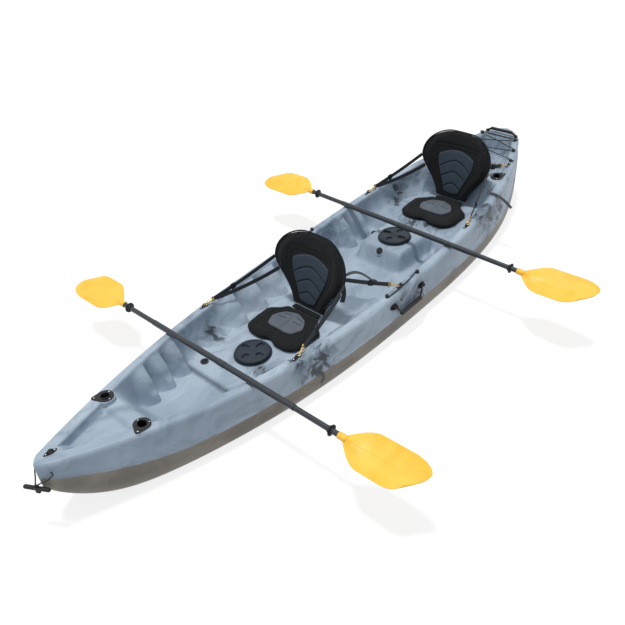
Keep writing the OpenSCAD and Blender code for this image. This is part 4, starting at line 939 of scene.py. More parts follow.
# Stage

CAMERA_AT, CAMERA_YAW, CAMERA_PITCH, CAMERA_ROLL = (2.351, 2.167, 2.436), -134.74, -37.5, 5.36
SENSOR, LENS_PIXELS, PHOTO_SIDE = 36, 693.6, 625
SUN_FROM, SUN_TINT, SKY_TINT = (0.03, -0.10, 0.99), (1.0, 0.97, 0.93), (0.90, 0.95, 1.0)
FLOOR_HALF, FLOOR_Z, FLOOR_GREY, FLOOR_GLOW = 40, -0.0005, (0.25, 0.25, 0.25), (0.80, 0.80, 0.80)


class KAYAK_OT_stage(Operator):
    """Camera, light, white background and floor"""
    bl_idname = "kayak.stage"
    bl_label = "Stage"

    def execute(self, context):
        look, scene = context.scene.kayak_stage, context.scene
        scene.view_settings.view_transform = "Standard"
        yaw, pitch, roll = (math.radians(a) for a in (CAMERA_YAW, CAMERA_PITCH, CAMERA_ROLL))
        ahead = Vector((math.cos(pitch) * math.cos(yaw), math.cos(pitch) * math.sin(yaw), math.sin(pitch)))
        right = ahead.cross(Vector((0, 0, 1))).normalized()
        down = ahead.cross(right)
        x = math.cos(roll) * right + math.sin(roll) * down
        y = math.sin(roll) * right - math.cos(roll) * down
        camera = bpy.data.objects.new("camera", bpy.data.cameras.new("camera"))
        camera.data.sensor_fit = "HORIZONTAL"
        camera.data.sensor_width = SENSOR
        camera.data.lens = SENSOR * LENS_PIXELS / PHOTO_SIDE
        camera.data.clip_end = 200
        camera.matrix_world = Matrix((x, y, -ahead)).transposed().to_4x4()
        camera.location = CAMERA_AT
        scene.collection.objects.link(camera)
        scene.camera = camera

        sun = bpy.data.objects.new("sun", bpy.data.lights.new("sun", "SUN"))
        sun.data.energy, sun.data.angle, sun.data.color = look.sun, look.sun_angle, SUN_TINT
        sun.rotation_euler = Vector(SUN_FROM).to_track_quat("Z", "Y").to_euler()
        scene.collection.objects.link(sun)

        world = scene.world = bpy.data.worlds.new("white_room")
        world.use_nodes = True
        tree = world.node_tree
        sky = tree.nodes["Background"]
        sky.inputs["Color"].default_value = (*SKY_TINT, 1)
        sky.inputs["Strength"].default_value = look.sky
        white = self.shader(tree, "ShaderNodeBackground", (1, 1, 1))
        self.sort_rays(tree, sky, white, "World Output")

        paint = bpy.data.materials.new("pale_floor")
        paint.use_nodes = True
        tree = paint.node_tree
        tree.nodes.remove(tree.nodes["Principled BSDF"])
        both = tree.nodes.new("ShaderNodeAddShader")
        tree.links.new(self.shader(tree, "ShaderNodeBsdfDiffuse", FLOOR_GREY).outputs[0], both.inputs[0])
        tree.links.new(self.shader(tree, "ShaderNodeEmission", FLOOR_GLOW).outputs[0], both.inputs[1])
        self.sort_rays(tree, self.shader(tree, "ShaderNodeBsdfDiffuse", look.floor), both, "Material Output")
        corners = [(x * FLOOR_HALF, y * FLOOR_HALF, FLOOR_Z) for x, y in ((-1, -1), (1, -1), (1, 1), (-1, 1))]
        ground = shape("floor", corners, [(0, 1, 2, 3)], paint, scale=1)
        return {"FINISHED"}

    @staticmethod
    def shader(tree, kind, tone):
        made = tree.nodes.new(kind)
        made.inputs["Color"].default_value = (*tone, 1)
        return made

    @staticmethod
    def sort_rays(tree, light, seen, output):
        """One shader for light, the other for camera, glossy and clear rays."""
        path = tree.nodes.new("ShaderNodeLightPath")
        total = path.outputs["Is Camera Ray"]
        for name in ("Is Glossy Ray", "Is Transmission Ray"):
            either = tree.nodes.new("ShaderNodeMath")
            either.operation = "MAXIMUM"
            tree.links.new(total, either.inputs[0])
            tree.links.new(path.outputs[name], either.inputs[1])
            total = either.outputs[0]
        pick = tree.nodes.new("ShaderNodeMixShader")
        for i, socket in enumerate((total, light.outputs[0], seen.outputs[0])):
            tree.links.new(socket, pick.inputs[i])
        tree.links.new(pick.outputs[0], tree.nodes[output].inputs["Surface"])


# Hull

ROD_R, TEAR_R, TEAR_TIP, TEAR_REACH = 24, 40, 13, 48
ROD_LEAN, ROD_DEEP = -12, 144
RODS = {"front": (1420, crest(1420) - 58, 32), "rear": (-1312, crest(-1312) - 68, 150)}
SCUPPERS, SCUPPER_R = ((850, 168, 100), (-650, 232, 100), (-1550, 72, 285.3)), 17.5
HATCH_R, HATCH_DEEP = 89, (88, 156)
# how far the painted ground reflection and shade below the seam fade out, in millimetres
SEAM_BLUR = 80


def teardrop(grow, parts=20):
    """Outline of a rod holder's flange."""
    a = math.acos((TEAR_R - TEAR_TIP) / TEAR_REACH)
    line = [((TEAR_R + grow) * math.cos(t), (TEAR_R + grow) * math.sin(t))
            for t in np.linspace(a, 2 * math.pi - a, parts * 2)]
    line += [(TEAR_REACH + (TEAR_TIP + grow) * math.cos(t), (TEAR_TIP + grow) * math.sin(t))
             for t in np.linspace(-a, a, parts)]
    return line


def rod_place(end, side, lift=0.3):
    x, y, turn = RODS[end]
    flip = Matrix.Scale(side, 4, (0, 1, 0))
    return flip @ on_deck(x, y, lift) @ Matrix.Rotation(math.radians(turn), 4, "Z")


def rod_axis(end, side):
    unturned = rod_place(end, side) @ Matrix.Rotation(math.radians(-RODS[end][2]), 4, "Z")
    return unturned @ Matrix.Rotation(math.radians(ROD_LEAN), 4, "X")


def drain_place():
    return Matrix.Translation((-405, 0, 181)) @ Matrix.Rotation(math.radians(45), 4, "Y")


class KAYAK_OT_hull(Operator):
    """One moulded shell with wells, foot steps, lands and bores"""
    bl_idname = "kayak.hull"
    bl_label = "Hull"

    def execute(self, context):
        rows = []
        for x in hull_stations():
            half = half_section(x)
            ring = [(x, y, z) for y, z in half] + [(x, -y, z) for y, z in half[-2:0:-1]]
            rows.append(ring)
        hull = shape("hull", *loft(rows), finish_of("hull_plastic"))
        lands = bmesh.new()
        for end in RODS:
            for side, _ in SIDES:
                self.land(lands, rod_place(end, side, 0))
        cylinder(lands, drain_place(), 30, -30, -1.5)
        carve(hull, from_bmesh("lands", lands), "UNION")
        bores = bmesh.new()
        for x, y, z in SCUPPERS:
            for side, _ in SIDES:
                cylinder(bores, Matrix.Translation((x, side * y, 0)), SCUPPER_R, -5, z + 50)
        for end in RODS:
            for side, _ in SIDES:
                cylinder(bores, rod_axis(end, side), ROD_R + 0.3, -ROD_DEEP, 26)
        for place, deep in zip((FRONT_HATCH, REAR_HATCH), HATCH_DEEP):
            cylinder(bores, Matrix.Translation(place), HATCH_R, -deep, 40, 96)
        cylinder(bores, drain_place(), 12.4, -24, 30)
        across = Matrix.Translation(TOGGLE_HOLE) @ Matrix.Rotation(math.radians(90), 4, "X")
        cylinder(bores, across, 3.6, -100, 100, 32)
        carve(hull, from_bmesh("bores", bores), "DIFFERENCE")
        mesh = hull.data
        # below_seam marks where the painted ground reflection and shade go: the outside of the hull under the
        # seam, faded over SEAM_BLUR
        below = mesh.attributes.new("below_seam", "FLOAT", "POINT")
        values = []
        for v in mesh.vertices:
            x, y, z = (c / MM for c in v.co)
            outside = abs(y) > well_edge(x) + 12 or z < 60 + keel(x)
            values.append(unit(0.5 + (seam_z(x) - z) / SEAM_BLUR) if outside else 0)
        below.data.foreach_set("value", values)
        soften(mesh, 34)
        settle_on(hull, "hull", "hull_plastic", "hull_shell")
        return {"FINISHED"}

    @staticmethod
    def land(bm, matrix):
        """A raised pad with an eased rim, as a prism in the bmesh."""
        rings = []
        for grow, z in ((4, -26), (4, -1.6), (3.6, -0.5), (2.8, 0)):
            rings.append([bm.verts.new(matrix @ Vector((x, y, z))) for x, y in teardrop(grow)])
        for low, high in zip(rings, rings[1:]):
            for i in range(len(low)):
                j = (i + 1) % len(low)
                bm.faces.new((low[i], low[j], high[j], high[i]))
        bm.faces.new(rings[0])
        bm.faces.new(rings[-1])


# Hatches and fittings

class KAYAK_OT_hatches(Operator):
    """Rings, tubs, seals and lids of the two hatches"""
    bl_idname = "kayak.hatches"
    bl_label = "Hatches"

    def execute(self, context):
        for end in FOLDS:
            for part, slot in (("ring", "hatch_plastic"), ("tub", "tub_plastic"), ("seal", "seal_rubber"),
                               ("lid", "hatch_plastic")):
                dress(f"{end}_hatch_{part}", slot)
        return {"FINISHED"}


class KAYAK_OT_fittings(Operator):
    """Rod holders, eyes, handles, plugs and screws"""
    bl_idname = "kayak.fittings"
    bl_label = "Deck fittings"

    def execute(self, context):
        for node in ("strap_eyes", "cord_buttons", "stern_handle", "bow_eye", "bow_toggle"):
            dress(node, "black_plastic")
        dress("drain_plug", "plug_rubber")
        for _, side in SIDES:
            dress(f"{side}_handle", "black_plastic")
            dress(f"{side}_handle_caps", "black_plastic")
        for end in FOLDS:
            dress(f"{end}_rod_holders", "black_plastic")
            dress(f"{end}_hooks", "brass")
            for _, side in SIDES:
                dress(f"{end}_{side}_plug", "plug_rubber")
                dress(f"{end}_drip_{side}", "plug_rubber")
        self.screws(context)
        return {"FINISHED"}

    @staticmethod
    def screws(context):
        points, aims = [], []

        def put(matrix, x, y, z):
            points.append(matrix @ Vector((x, y, z)))
            aims.append((matrix.to_3x3() @ Vector((0, 0, 1))).normalized())

        ring = ROD_R + (TEAR_R - ROD_R) / 2
        turns = [math.radians(a) for a in (125, 235)]
        spots = [(TEAR_REACH, 0)] + [(ring * math.cos(a), ring * math.sin(a)) for a in turns]
        for side, _ in SIDES:
            for end in RODS:
                for x, y in spots:
                    put(rod_place(end, side), x, y, 4)
            for x in (*EYES["front"], *EYES["rear"]):
                for s in (-20, 20):
                    put(Matrix.Scale(side, 4, (0, 1, 0)) @ on_deck(x, crest(x) - EYE_IN), s, 0, 3.5)
        for s in (-20, 20):
            put(on_deck(BOW_EYE_AT, 0), s, 0, 6.5)
        heads = points_object("screw_heads", points, aims)
        screw_tree().grow(heads, Diameter=context.scene.kayak_fittings.screw,
                          Finish=finish_of("stainless_steel"))
        soften(heads.data, 40)
        settle_on(heads, "hull", "stainless_steel", "deck_screws")


# Cords

BUTTON_IN, CORD_RISE, CORD_TURN, KEEPER_TURN = 24, 6.2, 9.4, 8.4
STERN_BUTTONS, KEEPER_BUTTONS = (-1505, -1620, -1735), (28.5, -240.5)
TOGGLE_HUB = (1874, 0, 230)


class KAYAK_OT_cords(Operator):
    """Stern bungee, paddle keepers and the cord of the bow toggle"""
    bl_idname = "kayak.cords"
    bl_label = "Cords"

    def execute(self, context):
        thick = context.scene.kayak_fittings.cord / MM
        b0, b1, b2 = STERN_BUTTONS

        def middle(x0, x1, up):
            return [((x0 + x1) / 2, 0, (sheer(x0) + sheer(x1)) / 2 + CORD_RISE + up)]

        def round_button(x, side, aft):
            turn = (-70, -35, 0, 35, 70) if aft else (70, 35, 0, -35, -70)
            made = []
            for a in turn:
                d = CORD_TURN * math.sin(math.radians(a))
                made.append((x + d, side * (crest(x) - BUTTON_IN + CORD_TURN * math.cos(math.radians(a))),
                             sheer(x + d) + CORD_RISE))
            return made

        def end(side):
            return [(b0 + 2, side * (crest(b0) - BUTTON_IN + CORD_TURN), sheer(b0) + CORD_RISE),
                    (b0 - 8, side * (crest(b0) - BUTTON_IN + CORD_TURN * 0.6), sheer(b0 - 8) + CORD_RISE)]

        route = (end(1) + middle(b0, b1, 0) + round_button(b1, -1, False) + middle(b1, b2, 0)
                 + round_button(b2, 1, False) + round_button(b2, -1, True) + middle(b1, b2, 9)
                 + round_button(b1, 1, True) + middle(b0, b1, 9) + end(-1)[::-1])
        stern = cord_object("stern_cord", spline(route, 6), thick)
        settle_on(stern, "hull", "black_cord", "stern_bungee")
        for side, name in SIDES:
            keeper = cord_object(f"{name}_keeper_cord", self.keeper(side), thick)
            settle_on(keeper, "hull", "black_cord", f"{name}_keeper")
        self.toggle(thick)
        return {"FINISHED"}

    @staticmethod
    def keeper(side):
        """A loop round one button, along the gunwale and round the other."""
        fore, aft = KEEPER_BUTTONS

        def at(x, button, out):
            return x, side * (crest(button) - BUTTON_IN + out), sheer(x) + CORD_RISE

        def loop(button, start, end):
            turns = [math.radians(a) for a in np.linspace(start, end, 22)]
            return [at(button + KEEPER_TURN * math.cos(a), button, KEEPER_TURN * math.sin(a)) for a in turns]

        run = []
        for t in (i / 12 for i in range(1, 12)):
            x = aft + (fore - aft) * t
            run.append(at(x, x, 9 * math.sin(math.pi * t) - KEEPER_TURN * (1 - 2 * t)))
        return spline(loop(aft, -90, 270) + run + loop(fore, 90, -270), 3)

    @staticmethod
    def toggle(thick):
        """Loop through the bow, its two ends through the toggle to a knot."""
        hub, hole = Vector(TOGGLE_HUB), Vector(TOGGLE_HOLE)
        leg, wide = thick / 2 + 0.4, seam_b(hole.x) + thick / 2 + 1.4
        half = [hub + Vector((0, leg, z)) for z in (-20, 0, 16)]
        drop = half[-1] - hole
        for down, out in ((0.87, 0.16), (0.7, 0.38), (0.55, 0.64), (0.35, 0.9), (0.17, 1), (0, 1)):
            half.append(hole + Vector((down * drop.x, leg + out * (wide - leg), down * drop.z)))
        path = half + [Vector((p.x, -p.y, p.z)) for p in reversed(half)]
        loop = cord_object("toggle_cord", spline(path, 6), thick)
        wound = []
        for a in np.linspace(0, 4 * math.pi, 22):
            x, y = 7.5 * math.cos(a) * math.cos(a / 2), 7.5 * math.sin(a)
            wound.append(hub + Vector((x, y, -21 + 4 * math.sin(1.5 * a))))
        knot = shape("toggle_knot", *loft(tube_rows(spline(wound, 4), 3)), finish_of("black_cord"), smooth=60)
        settle_on(loop, "toggle", "black_cord", "bow_toggle_cord")
        settle_on(knot, "toggle", "black_cord")


# Seats

SEAT_SET, SEAT_ROOT, SEAT_HALF, SEAT_LONG, SEAT_DROP = 6.3, 112, 200, 300, 19.7
BACK_TALL, BACK_LEAN, BACK_SET, BACK_WRAP, BACK_HALF = 420, 120, 28, 46, 250
# the sewn panels: half width and half height as shares of the cover, and the height of their middle
PANEL_U, SEAT_PANEL_V, SEAT_PANEL_MID, BACK_PANEL_V, BACK_PANEL_MID = 0.63, 0.36, 0.44, 0.38, 0.42


def lobes(u):
    """Length of the cushion, with two lobes at its front."""
    return SEAT_LONG - 22 * bell(u / 0.2) - 46 * abs(u) ** 6


def seat_b(v):
    return SEAT_ROOT + (SEAT_HALF - SEAT_ROOT) * ease(v / 0.4) - 12 * v ** 4


def seat_crown(u, v):
    return math.sqrt(max(0, (1 - abs(u) ** 5) * (1 - abs(2 * v - 1) ** 7)))


def seat_channel(u, v):
    return bell((max(abs(u) / PANEL_U, abs(v - SEAT_PANEL_MID) / SEAT_PANEL_V) - 1) / 0.08)


def seat_top(u, v, sewn=True):
    crown = seat_crown(u, v)
    top = 22 + 15 * crown
    return top - (4 * seat_channel(u, v) * crown + 4 * bell(u / 0.1) * crown * ease(v)) * sewn


def back_b(v):
    if v < 0.62:
        return 108 + 142 * ease(v / 0.62 * 0.92 + 0.04)
    return 40 + 209 * math.sqrt(max(0, 1 - ((v - 0.62) / 0.38) ** 2.3))


def back_x(u, v):
    return -BACK_SET - BACK_LEAN * v + BACK_WRAP * (back_b(v) * u / BACK_HALF) ** 2 * ease(1.6 * v)


def back_fill(u, v):
    return math.sqrt(max(0, (1 - abs(u) ** 4) * (1 - abs(2 * v - 1) ** 6)))


def back_t(u, v):
    return 10 + 24 * back_fill(u, v)


def back_channel(u, v):
    return bell((max(abs(u) / PANEL_U, abs(v - BACK_PANEL_MID) / BACK_PANEL_V) - 1) / 0.07)


def back_at(u, v, x):
    return back_x(u, v) + x, back_b(v) * u, 2 + BACK_TALL * v


def back_front(u, v, out=0.0, sewn=True):
    return back_at(u, v, 0.55 * back_t(u, v) - 4 * back_channel(u, v) * back_fill(u, v) * sewn + out)


def back_rear(u, v, out=0.0):
    return back_at(u, v, -0.45 * back_t(u, v) - out)


def closed_grid(front, back):
    """Points and faces of two grids of one size, joined round their rims."""
    n, m = len(front), len(front[0])
    points = [p for row in front for p in row] + [p for row in back for p in row]
    k = n * m
    faces = []
    for i in range(n - 1):
        for j in range(m - 1):
            a = i * m + j
            faces += [(a, a + 1, a + m + 1, a + m), (k + a + m, k + a + m + 1, k + a + 1, k + a)]
    rim = [*range(m), *(i * m + m - 1 for i in range(1, n)), *range(n * m - 2, (n - 1) * m - 1, -1),
           *(i * m for i in range(n - 2, 0, -1))]
    for a, b in zip(rim, rim[1:] + rim[:1]):
        faces.append((b, a, k + a, k + b))
    return points, faces


FILL_FRAMES = 20


def filled(obj, cap, settings):
    """Swells a padded cover by cloth pressure, no point moving further than cap millimetres."""
    remesh = obj.modifiers.new("cells", "REMESH")
    remesh.mode, remesh.voxel_size = "VOXEL", settings.voxel
    settled(obj)
    rest = np.array([v.co for v in obj.data.vertices])
    cover = obj.modifiers.new("cover", "CLOTH")
    s = cover.settings
    s.quality = 4
    s.mass = 0.4
    s.use_pressure = True
    s.uniform_pressure_force = settings.pressure
    s.tension_stiffness = s.compression_stiffness = 18
    s.shear_stiffness = 8
    s.bending_stiffness = 1.5
    s.effector_weights.gravity = 0
    cover.point_cache.frame_start, cover.point_cache.frame_end = 1, FILL_FRAMES
    scene = bpy.context.scene
    for number in range(1, FILL_FRAMES + 1):
        scene.frame_set(number)
    settled(obj)
    scene.frame_set(1)
    moved = np.array([v.co for v in obj.data.vertices]) - rest
    far = np.linalg.norm(moved, axis=1, keepdims=True)
    moved *= np.minimum(1, cap * MM / np.maximum(far, 1e-9))
    obj.data.vertices.foreach_set("co", (rest + moved).ravel())
    obj.data.update()
    return obj


def divided(obj):
    sub = obj.modifiers.new("smooth", "SUBSURF")
    sub.levels = sub.render_levels = 1
    settled(obj)
    obj.data.polygons.foreach_set("use_smooth", [True] * len(obj.data.polygons))
    return obj


def moved_copy(obj, name, offset):
    mesh = obj.data.copy()
    mesh.transform(Matrix.Translation(Vector(offset) * MM))
    return link(name, mesh)


def reworked(obj, rule):
    """Moves each point of a mesh by a rule in millimetres."""
    for v in obj.data.vertices:
        v.co = Vector(rule(*(c / MM for c in v.co))) * MM
    obj.data.update()


SPREAD = np.linspace(-1, 1, 61)


def rounded_corner(p, q, k=0.30):
    return p * math.sqrt(1 - k * q * q / 2), q * math.sqrt(1 - k * p * p / 2)


class KAYAK_OT_seats(Operator):
    """Cushions and backrests: padded covers, ribbed panels, binding and stitches"""
    bl_idname = "kayak.seats"
    bl_label = "Seats"

    def execute(self, context):
        look = context.scene.kayak_seats
        seat = self.cushion(look)
        back = self.backrest(look)
        seat_panel, seat_line = self.seat_panel()
        back_panel, back_line = self.back_panel()
        binding = self.binding()
        sleeve = self.sleeve()
        seat_threads = stitched("seat_threads", seat_line, look.stitch)
        back_threads = stitched("back_threads", back_line, look.stitch)
        # piece, its name, its slot, the node it stands for and its fill
        seat_kit = ((seat, "cushion", "black_padding", "seat", 0.7),
                    (seat_panel, "cushion_panel", "grey_padding", "seat_insert", 0.8),
                    (seat_threads, "cushion_stitches", "stitch_thread", None, None))
        back_kit = ((back, "back_cover", "black_padding", "backrest", 0.7),
                    (back_panel, "back_panel", "slate_padding", "back_insert", 0.8),
                    (binding, "back_binding", "black_padding", None, None),
                    (sleeve, "back_sleeve", "black_padding", None, None),
                    (back_threads, "back_stitches", "stitch_thread", None, None))
        for end, fold in FOLDS.items():
            low = (fold[0], 0, fold[2] - SEAT_DROP)
            for kit, body, offset in ((seat_kit, "hull", low), (back_kit, f"{end}_back", fold)):
                for piece, name, slot, node, fill in kit:
                    nodes = [f"{end}_{node}"] if node else []
                    settle_on(moved_copy(piece, f"{end}_{name}", offset), body, slot, *nodes, fill=fill)
        for piece, *_ in seat_kit + back_kit:
            bpy.data.objects.remove(piece)
        return {"FINISHED"}

    @staticmethod
    def cushion(look):
        rows = np.linspace(0, 1, 49)

        def at(u, v, z, k=1.0):
            return SEAT_SET + lobes(u) * v * k + (1 - k) * 4, seat_b(v) * u * k, z
        front = [[at(u, v, seat_top(u, v, False) - 2.5) for u in SPREAD] for v in rows]
        rear = [[at(u, v, 0, 0.975) for u in SPREAD] for v in rows]
        seat = shape("cushion", *closed_grid(front, rear), finish_of("black_padding"))
        filled(seat, 6, look)

        def rule(x, y, z):
            v = unit((x - SEAT_SET) / SEAT_LONG)
            u = max(-1, min(1, y / seat_b(v)))
            v = unit((x - SEAT_SET) / lobes(u))
            if z > 14:
                if max(abs(u) / 0.58, abs(v - SEAT_PANEL_MID) / 0.31) < 1:
                    z = min(z, seat_top(u, v, False) - 1.0)
                z -= (5 * seat_channel(u, v) + 5 * bell(u / 0.08) * ease(v)) * seat_crown(u, v)
            return max(x, 6.4), y, max(z, 0)
        reworked(seat, rule)
        return divided(seat)

    @staticmethod
    def backrest(look):
        rows = np.linspace(0, 1, 73)
        front = [[back_front(u, v, -2.0, False) for u in SPREAD] for v in rows]
        rear = [[back_rear(u, v, -1.5) for u in SPREAD] for v in rows]
        back = shape("back", *closed_grid(front, rear), finish_of("black_padding"))
        filled(back, 7, look)

        def rule(x, y, z):
            v = unit((z - 2) / BACK_TALL)
            u = max(-1, min(1, y / back_b(v)))
            if x > back_x(u, v) + 3:
                if max(abs(u) / 0.58, abs(v - BACK_PANEL_MID) / 0.35) < 1:
                    x = min(x, back_front(u, v, -0.6, False)[0])
                x -= 5 * back_channel(u, v) * back_fill(u, v)
            return x, y, z
        reworked(back, rule)
        return divided(back)

    @staticmethod
    def panel(name, top, base, rib, finish):
        """A ribbed pad over |p|, |q| <= 1, closed round its rim, its grooves kept as an attribute."""
        count = np.linspace(-1, 1, 121)
        front, rear, line, depth = [], [], [], []
        for q in count:
            front.append([])
            rear.append([])
            for p in count:
                rim = min(1, 7.0 * (1 - max(abs(p), abs(q))))
                swell = math.sqrt(max(0, 1 - (1 - rim) ** 2))
                groove = rib(p, q)
                depth.append(groove * swell)
                front[-1].append(top(*rounded_corner(p, q), 0.8 + (4.7 - 4.2 * groove) * swell))
                rear[-1].append(base(*rounded_corner(p, q)))
        sides = (lambda t: (t, -1)), (lambda t: (1, t)), (lambda t: (-t, 1)), (lambda t: (-1, -t))
        for p, q in (side(t) for side in sides for t in count):
            line.append(top(*rounded_corner(p * 0.955, q * 0.965), 3.9))
        made = shape(name, *closed_grid(front, rear), finish_of(finish), smooth=60)
        # rib also darkens the grooves in the finish, as painted shade
        marked = made.data.attributes.new("rib", "FLOAT", "POINT")
        marked.data.foreach_set("value", depth + [0.0] * len(depth))
        return made, line

    def seat_panel(self):
        def at(p, q, height):
            u, v = (0.55 - 0.10 * abs(q - 0.1)) * p, SEAT_PANEL_MID + (0.28 - 0.06 * abs(p) ** 1.5) * q
            return SEAT_SET + lobes(u) * v, seat_b(v) * u, seat_top(u, v) + 0.3 + height

        def rib(p, q):
            slots = sum(bell((q + 0.10 * abs(p) - k) / 0.05) for k in (-0.62, -0.16))
            crease = 0.55 * bell(p / 0.06) * ease(q + 1.2)
            return min(1, slots * within(abs(p), 0.16, 0.86, 0.1, 0.1) + crease)
        return self.panel("seat_panel", at, lambda p, q: at(p, q, -0.3), rib, "grey_padding")

    def back_panel(self):
        def at(p, q, height):
            v = BACK_PANEL_MID + 0.32 * q - 0.035 * (1 + q) * p * p
            return back_front((0.50 + 0.05 * q) * p, v, 0.3 + height)

        def rib(p, q):
            bend = q + 0.30 * (math.sqrt(p * p + 0.02) - 0.14)
            return min(1, sum(bell((bend - k) / 0.042) for k in (-0.50, 0.02, 0.54)))
        return self.panel("back_panel", at, lambda p, q: at(p, q, -0.3), rib, "slate_padding")

    @staticmethod
    def binding():
        """Piping sewn round the edge of the backrest."""
        rise = np.linspace(0.02, 0.978, 60)
        rim = [(-0.982, v) for v in rise] + [(u, 0.990) for u in np.linspace(-0.92, 0.92, 12)]
        rim += [(0.982, v) for v in rise[::-1]]
        path = [back_at(u, v, 0.05 * back_t(u, v)) for u, v in rim]
        rows = tube_rows(path, 4.2, (1, 0.02, 0.03))
        return shape("binding", *loft(rows), finish_of("black_padding"), smooth=50)

    @staticmethod
    def sleeve():
        """Sewn sleeve along the fold, with the flap up to the backrest."""
        rows = []
        for y in np.linspace(-95, 95, 40):
            fat = 6 * (1 - 0.25 * bell((abs(y) - 95) / 4)) - 0.35 * abs(math.sin(y * 0.16))
            ring = []
            for a in np.linspace(0, 2 * math.pi, 20, endpoint=False):
                x, z = fat * math.cos(a), fat * math.sin(a)
                if x < 0:
                    x, z = x * 4.9, max(-4, min(z, 4 + 4 * unit(-x / 6)))
                ring.append((x, y, z))
            rows.append(ring)
        return shape("sleeve", *loft(rows), finish_of("black_padding"), smooth=60)


# Straps

WEB_W, WEB_T, SLACK = 25, 1.8, 0.014


def ribbon(name, path, finish, ref=(0, 0, 1), turned=None):
    """Webbing along a path, its width along ref or turned towards a second way in the middle of the run."""
    path = [Vector(p) for p in path]
    ref = Vector(ref)
    rows, runs, run = [], [], 0
    lane = [(-0.5, 0.3), (-0.46, 0.5), (-0.2, 0.5), (0.2, 0.5), (0.46, 0.5), (0.5, 0.3),
            (0.5, -0.3), (0.46, -0.5), (0.2, -0.5), (-0.2, -0.5), (-0.46, -0.5), (-0.5, -0.3)]
    for i, p in enumerate(path):
        if i:
            run += (p - path[i - 1]).length
        h = (path[min(i + 1, len(path) - 1)] - path[max(i - 1, 0)]).normalized()
        lie = ref
        if turned is not None:
            lie = ref.lerp(Vector(turned), ease(2.4 * math.sin(math.pi * i / (len(path) - 1))))
        a = (lie - lie.dot(h) * h).normalized()
        b = h.cross(a)
        rows.append([p + a * (WEB_W * s) + b * (WEB_T * t) for s, t in lane])
        runs.append(run * MM)
    obj = shape(name, *loft(rows), finish, smooth=50)
    along = obj.data.attributes.new("run", "FLOAT", "POINT")
    along.data.foreach_set("value", [r for r in runs for _ in lane])
    across = obj.data.attributes.new("across", "FLOAT", "POINT")
    across.data.foreach_set("value", [s + 0.5 for _ in runs for s, _ in lane])
    return obj


def eye_mid(x):
    a = sheer_angle(x)
    return Vector((x - 6.8 * math.sin(a), crest(x) - EYE_IN, sheer(x) + 6.8 * math.cos(a)))


def hook_end(x, side, to):
    """Where the webbing meets the snap hook that hangs in an eye."""
    v = to - eye_mid(x)
    e = math.atan2(v.z, math.hypot(v.x, v.y))
    base = eye_mid(x) + 11 * Vector((side * math.cos(e), 0, math.sin(e)))
    return base + (to - base).normalized() * 58.95


def sagging(a, b, slack):
    drop = slack * (b - a).length
    return [a + (b - a) * t - Vector((0, 0, drop * 4 * t * (1 - t))) for t in np.linspace(0, 1, 25)]


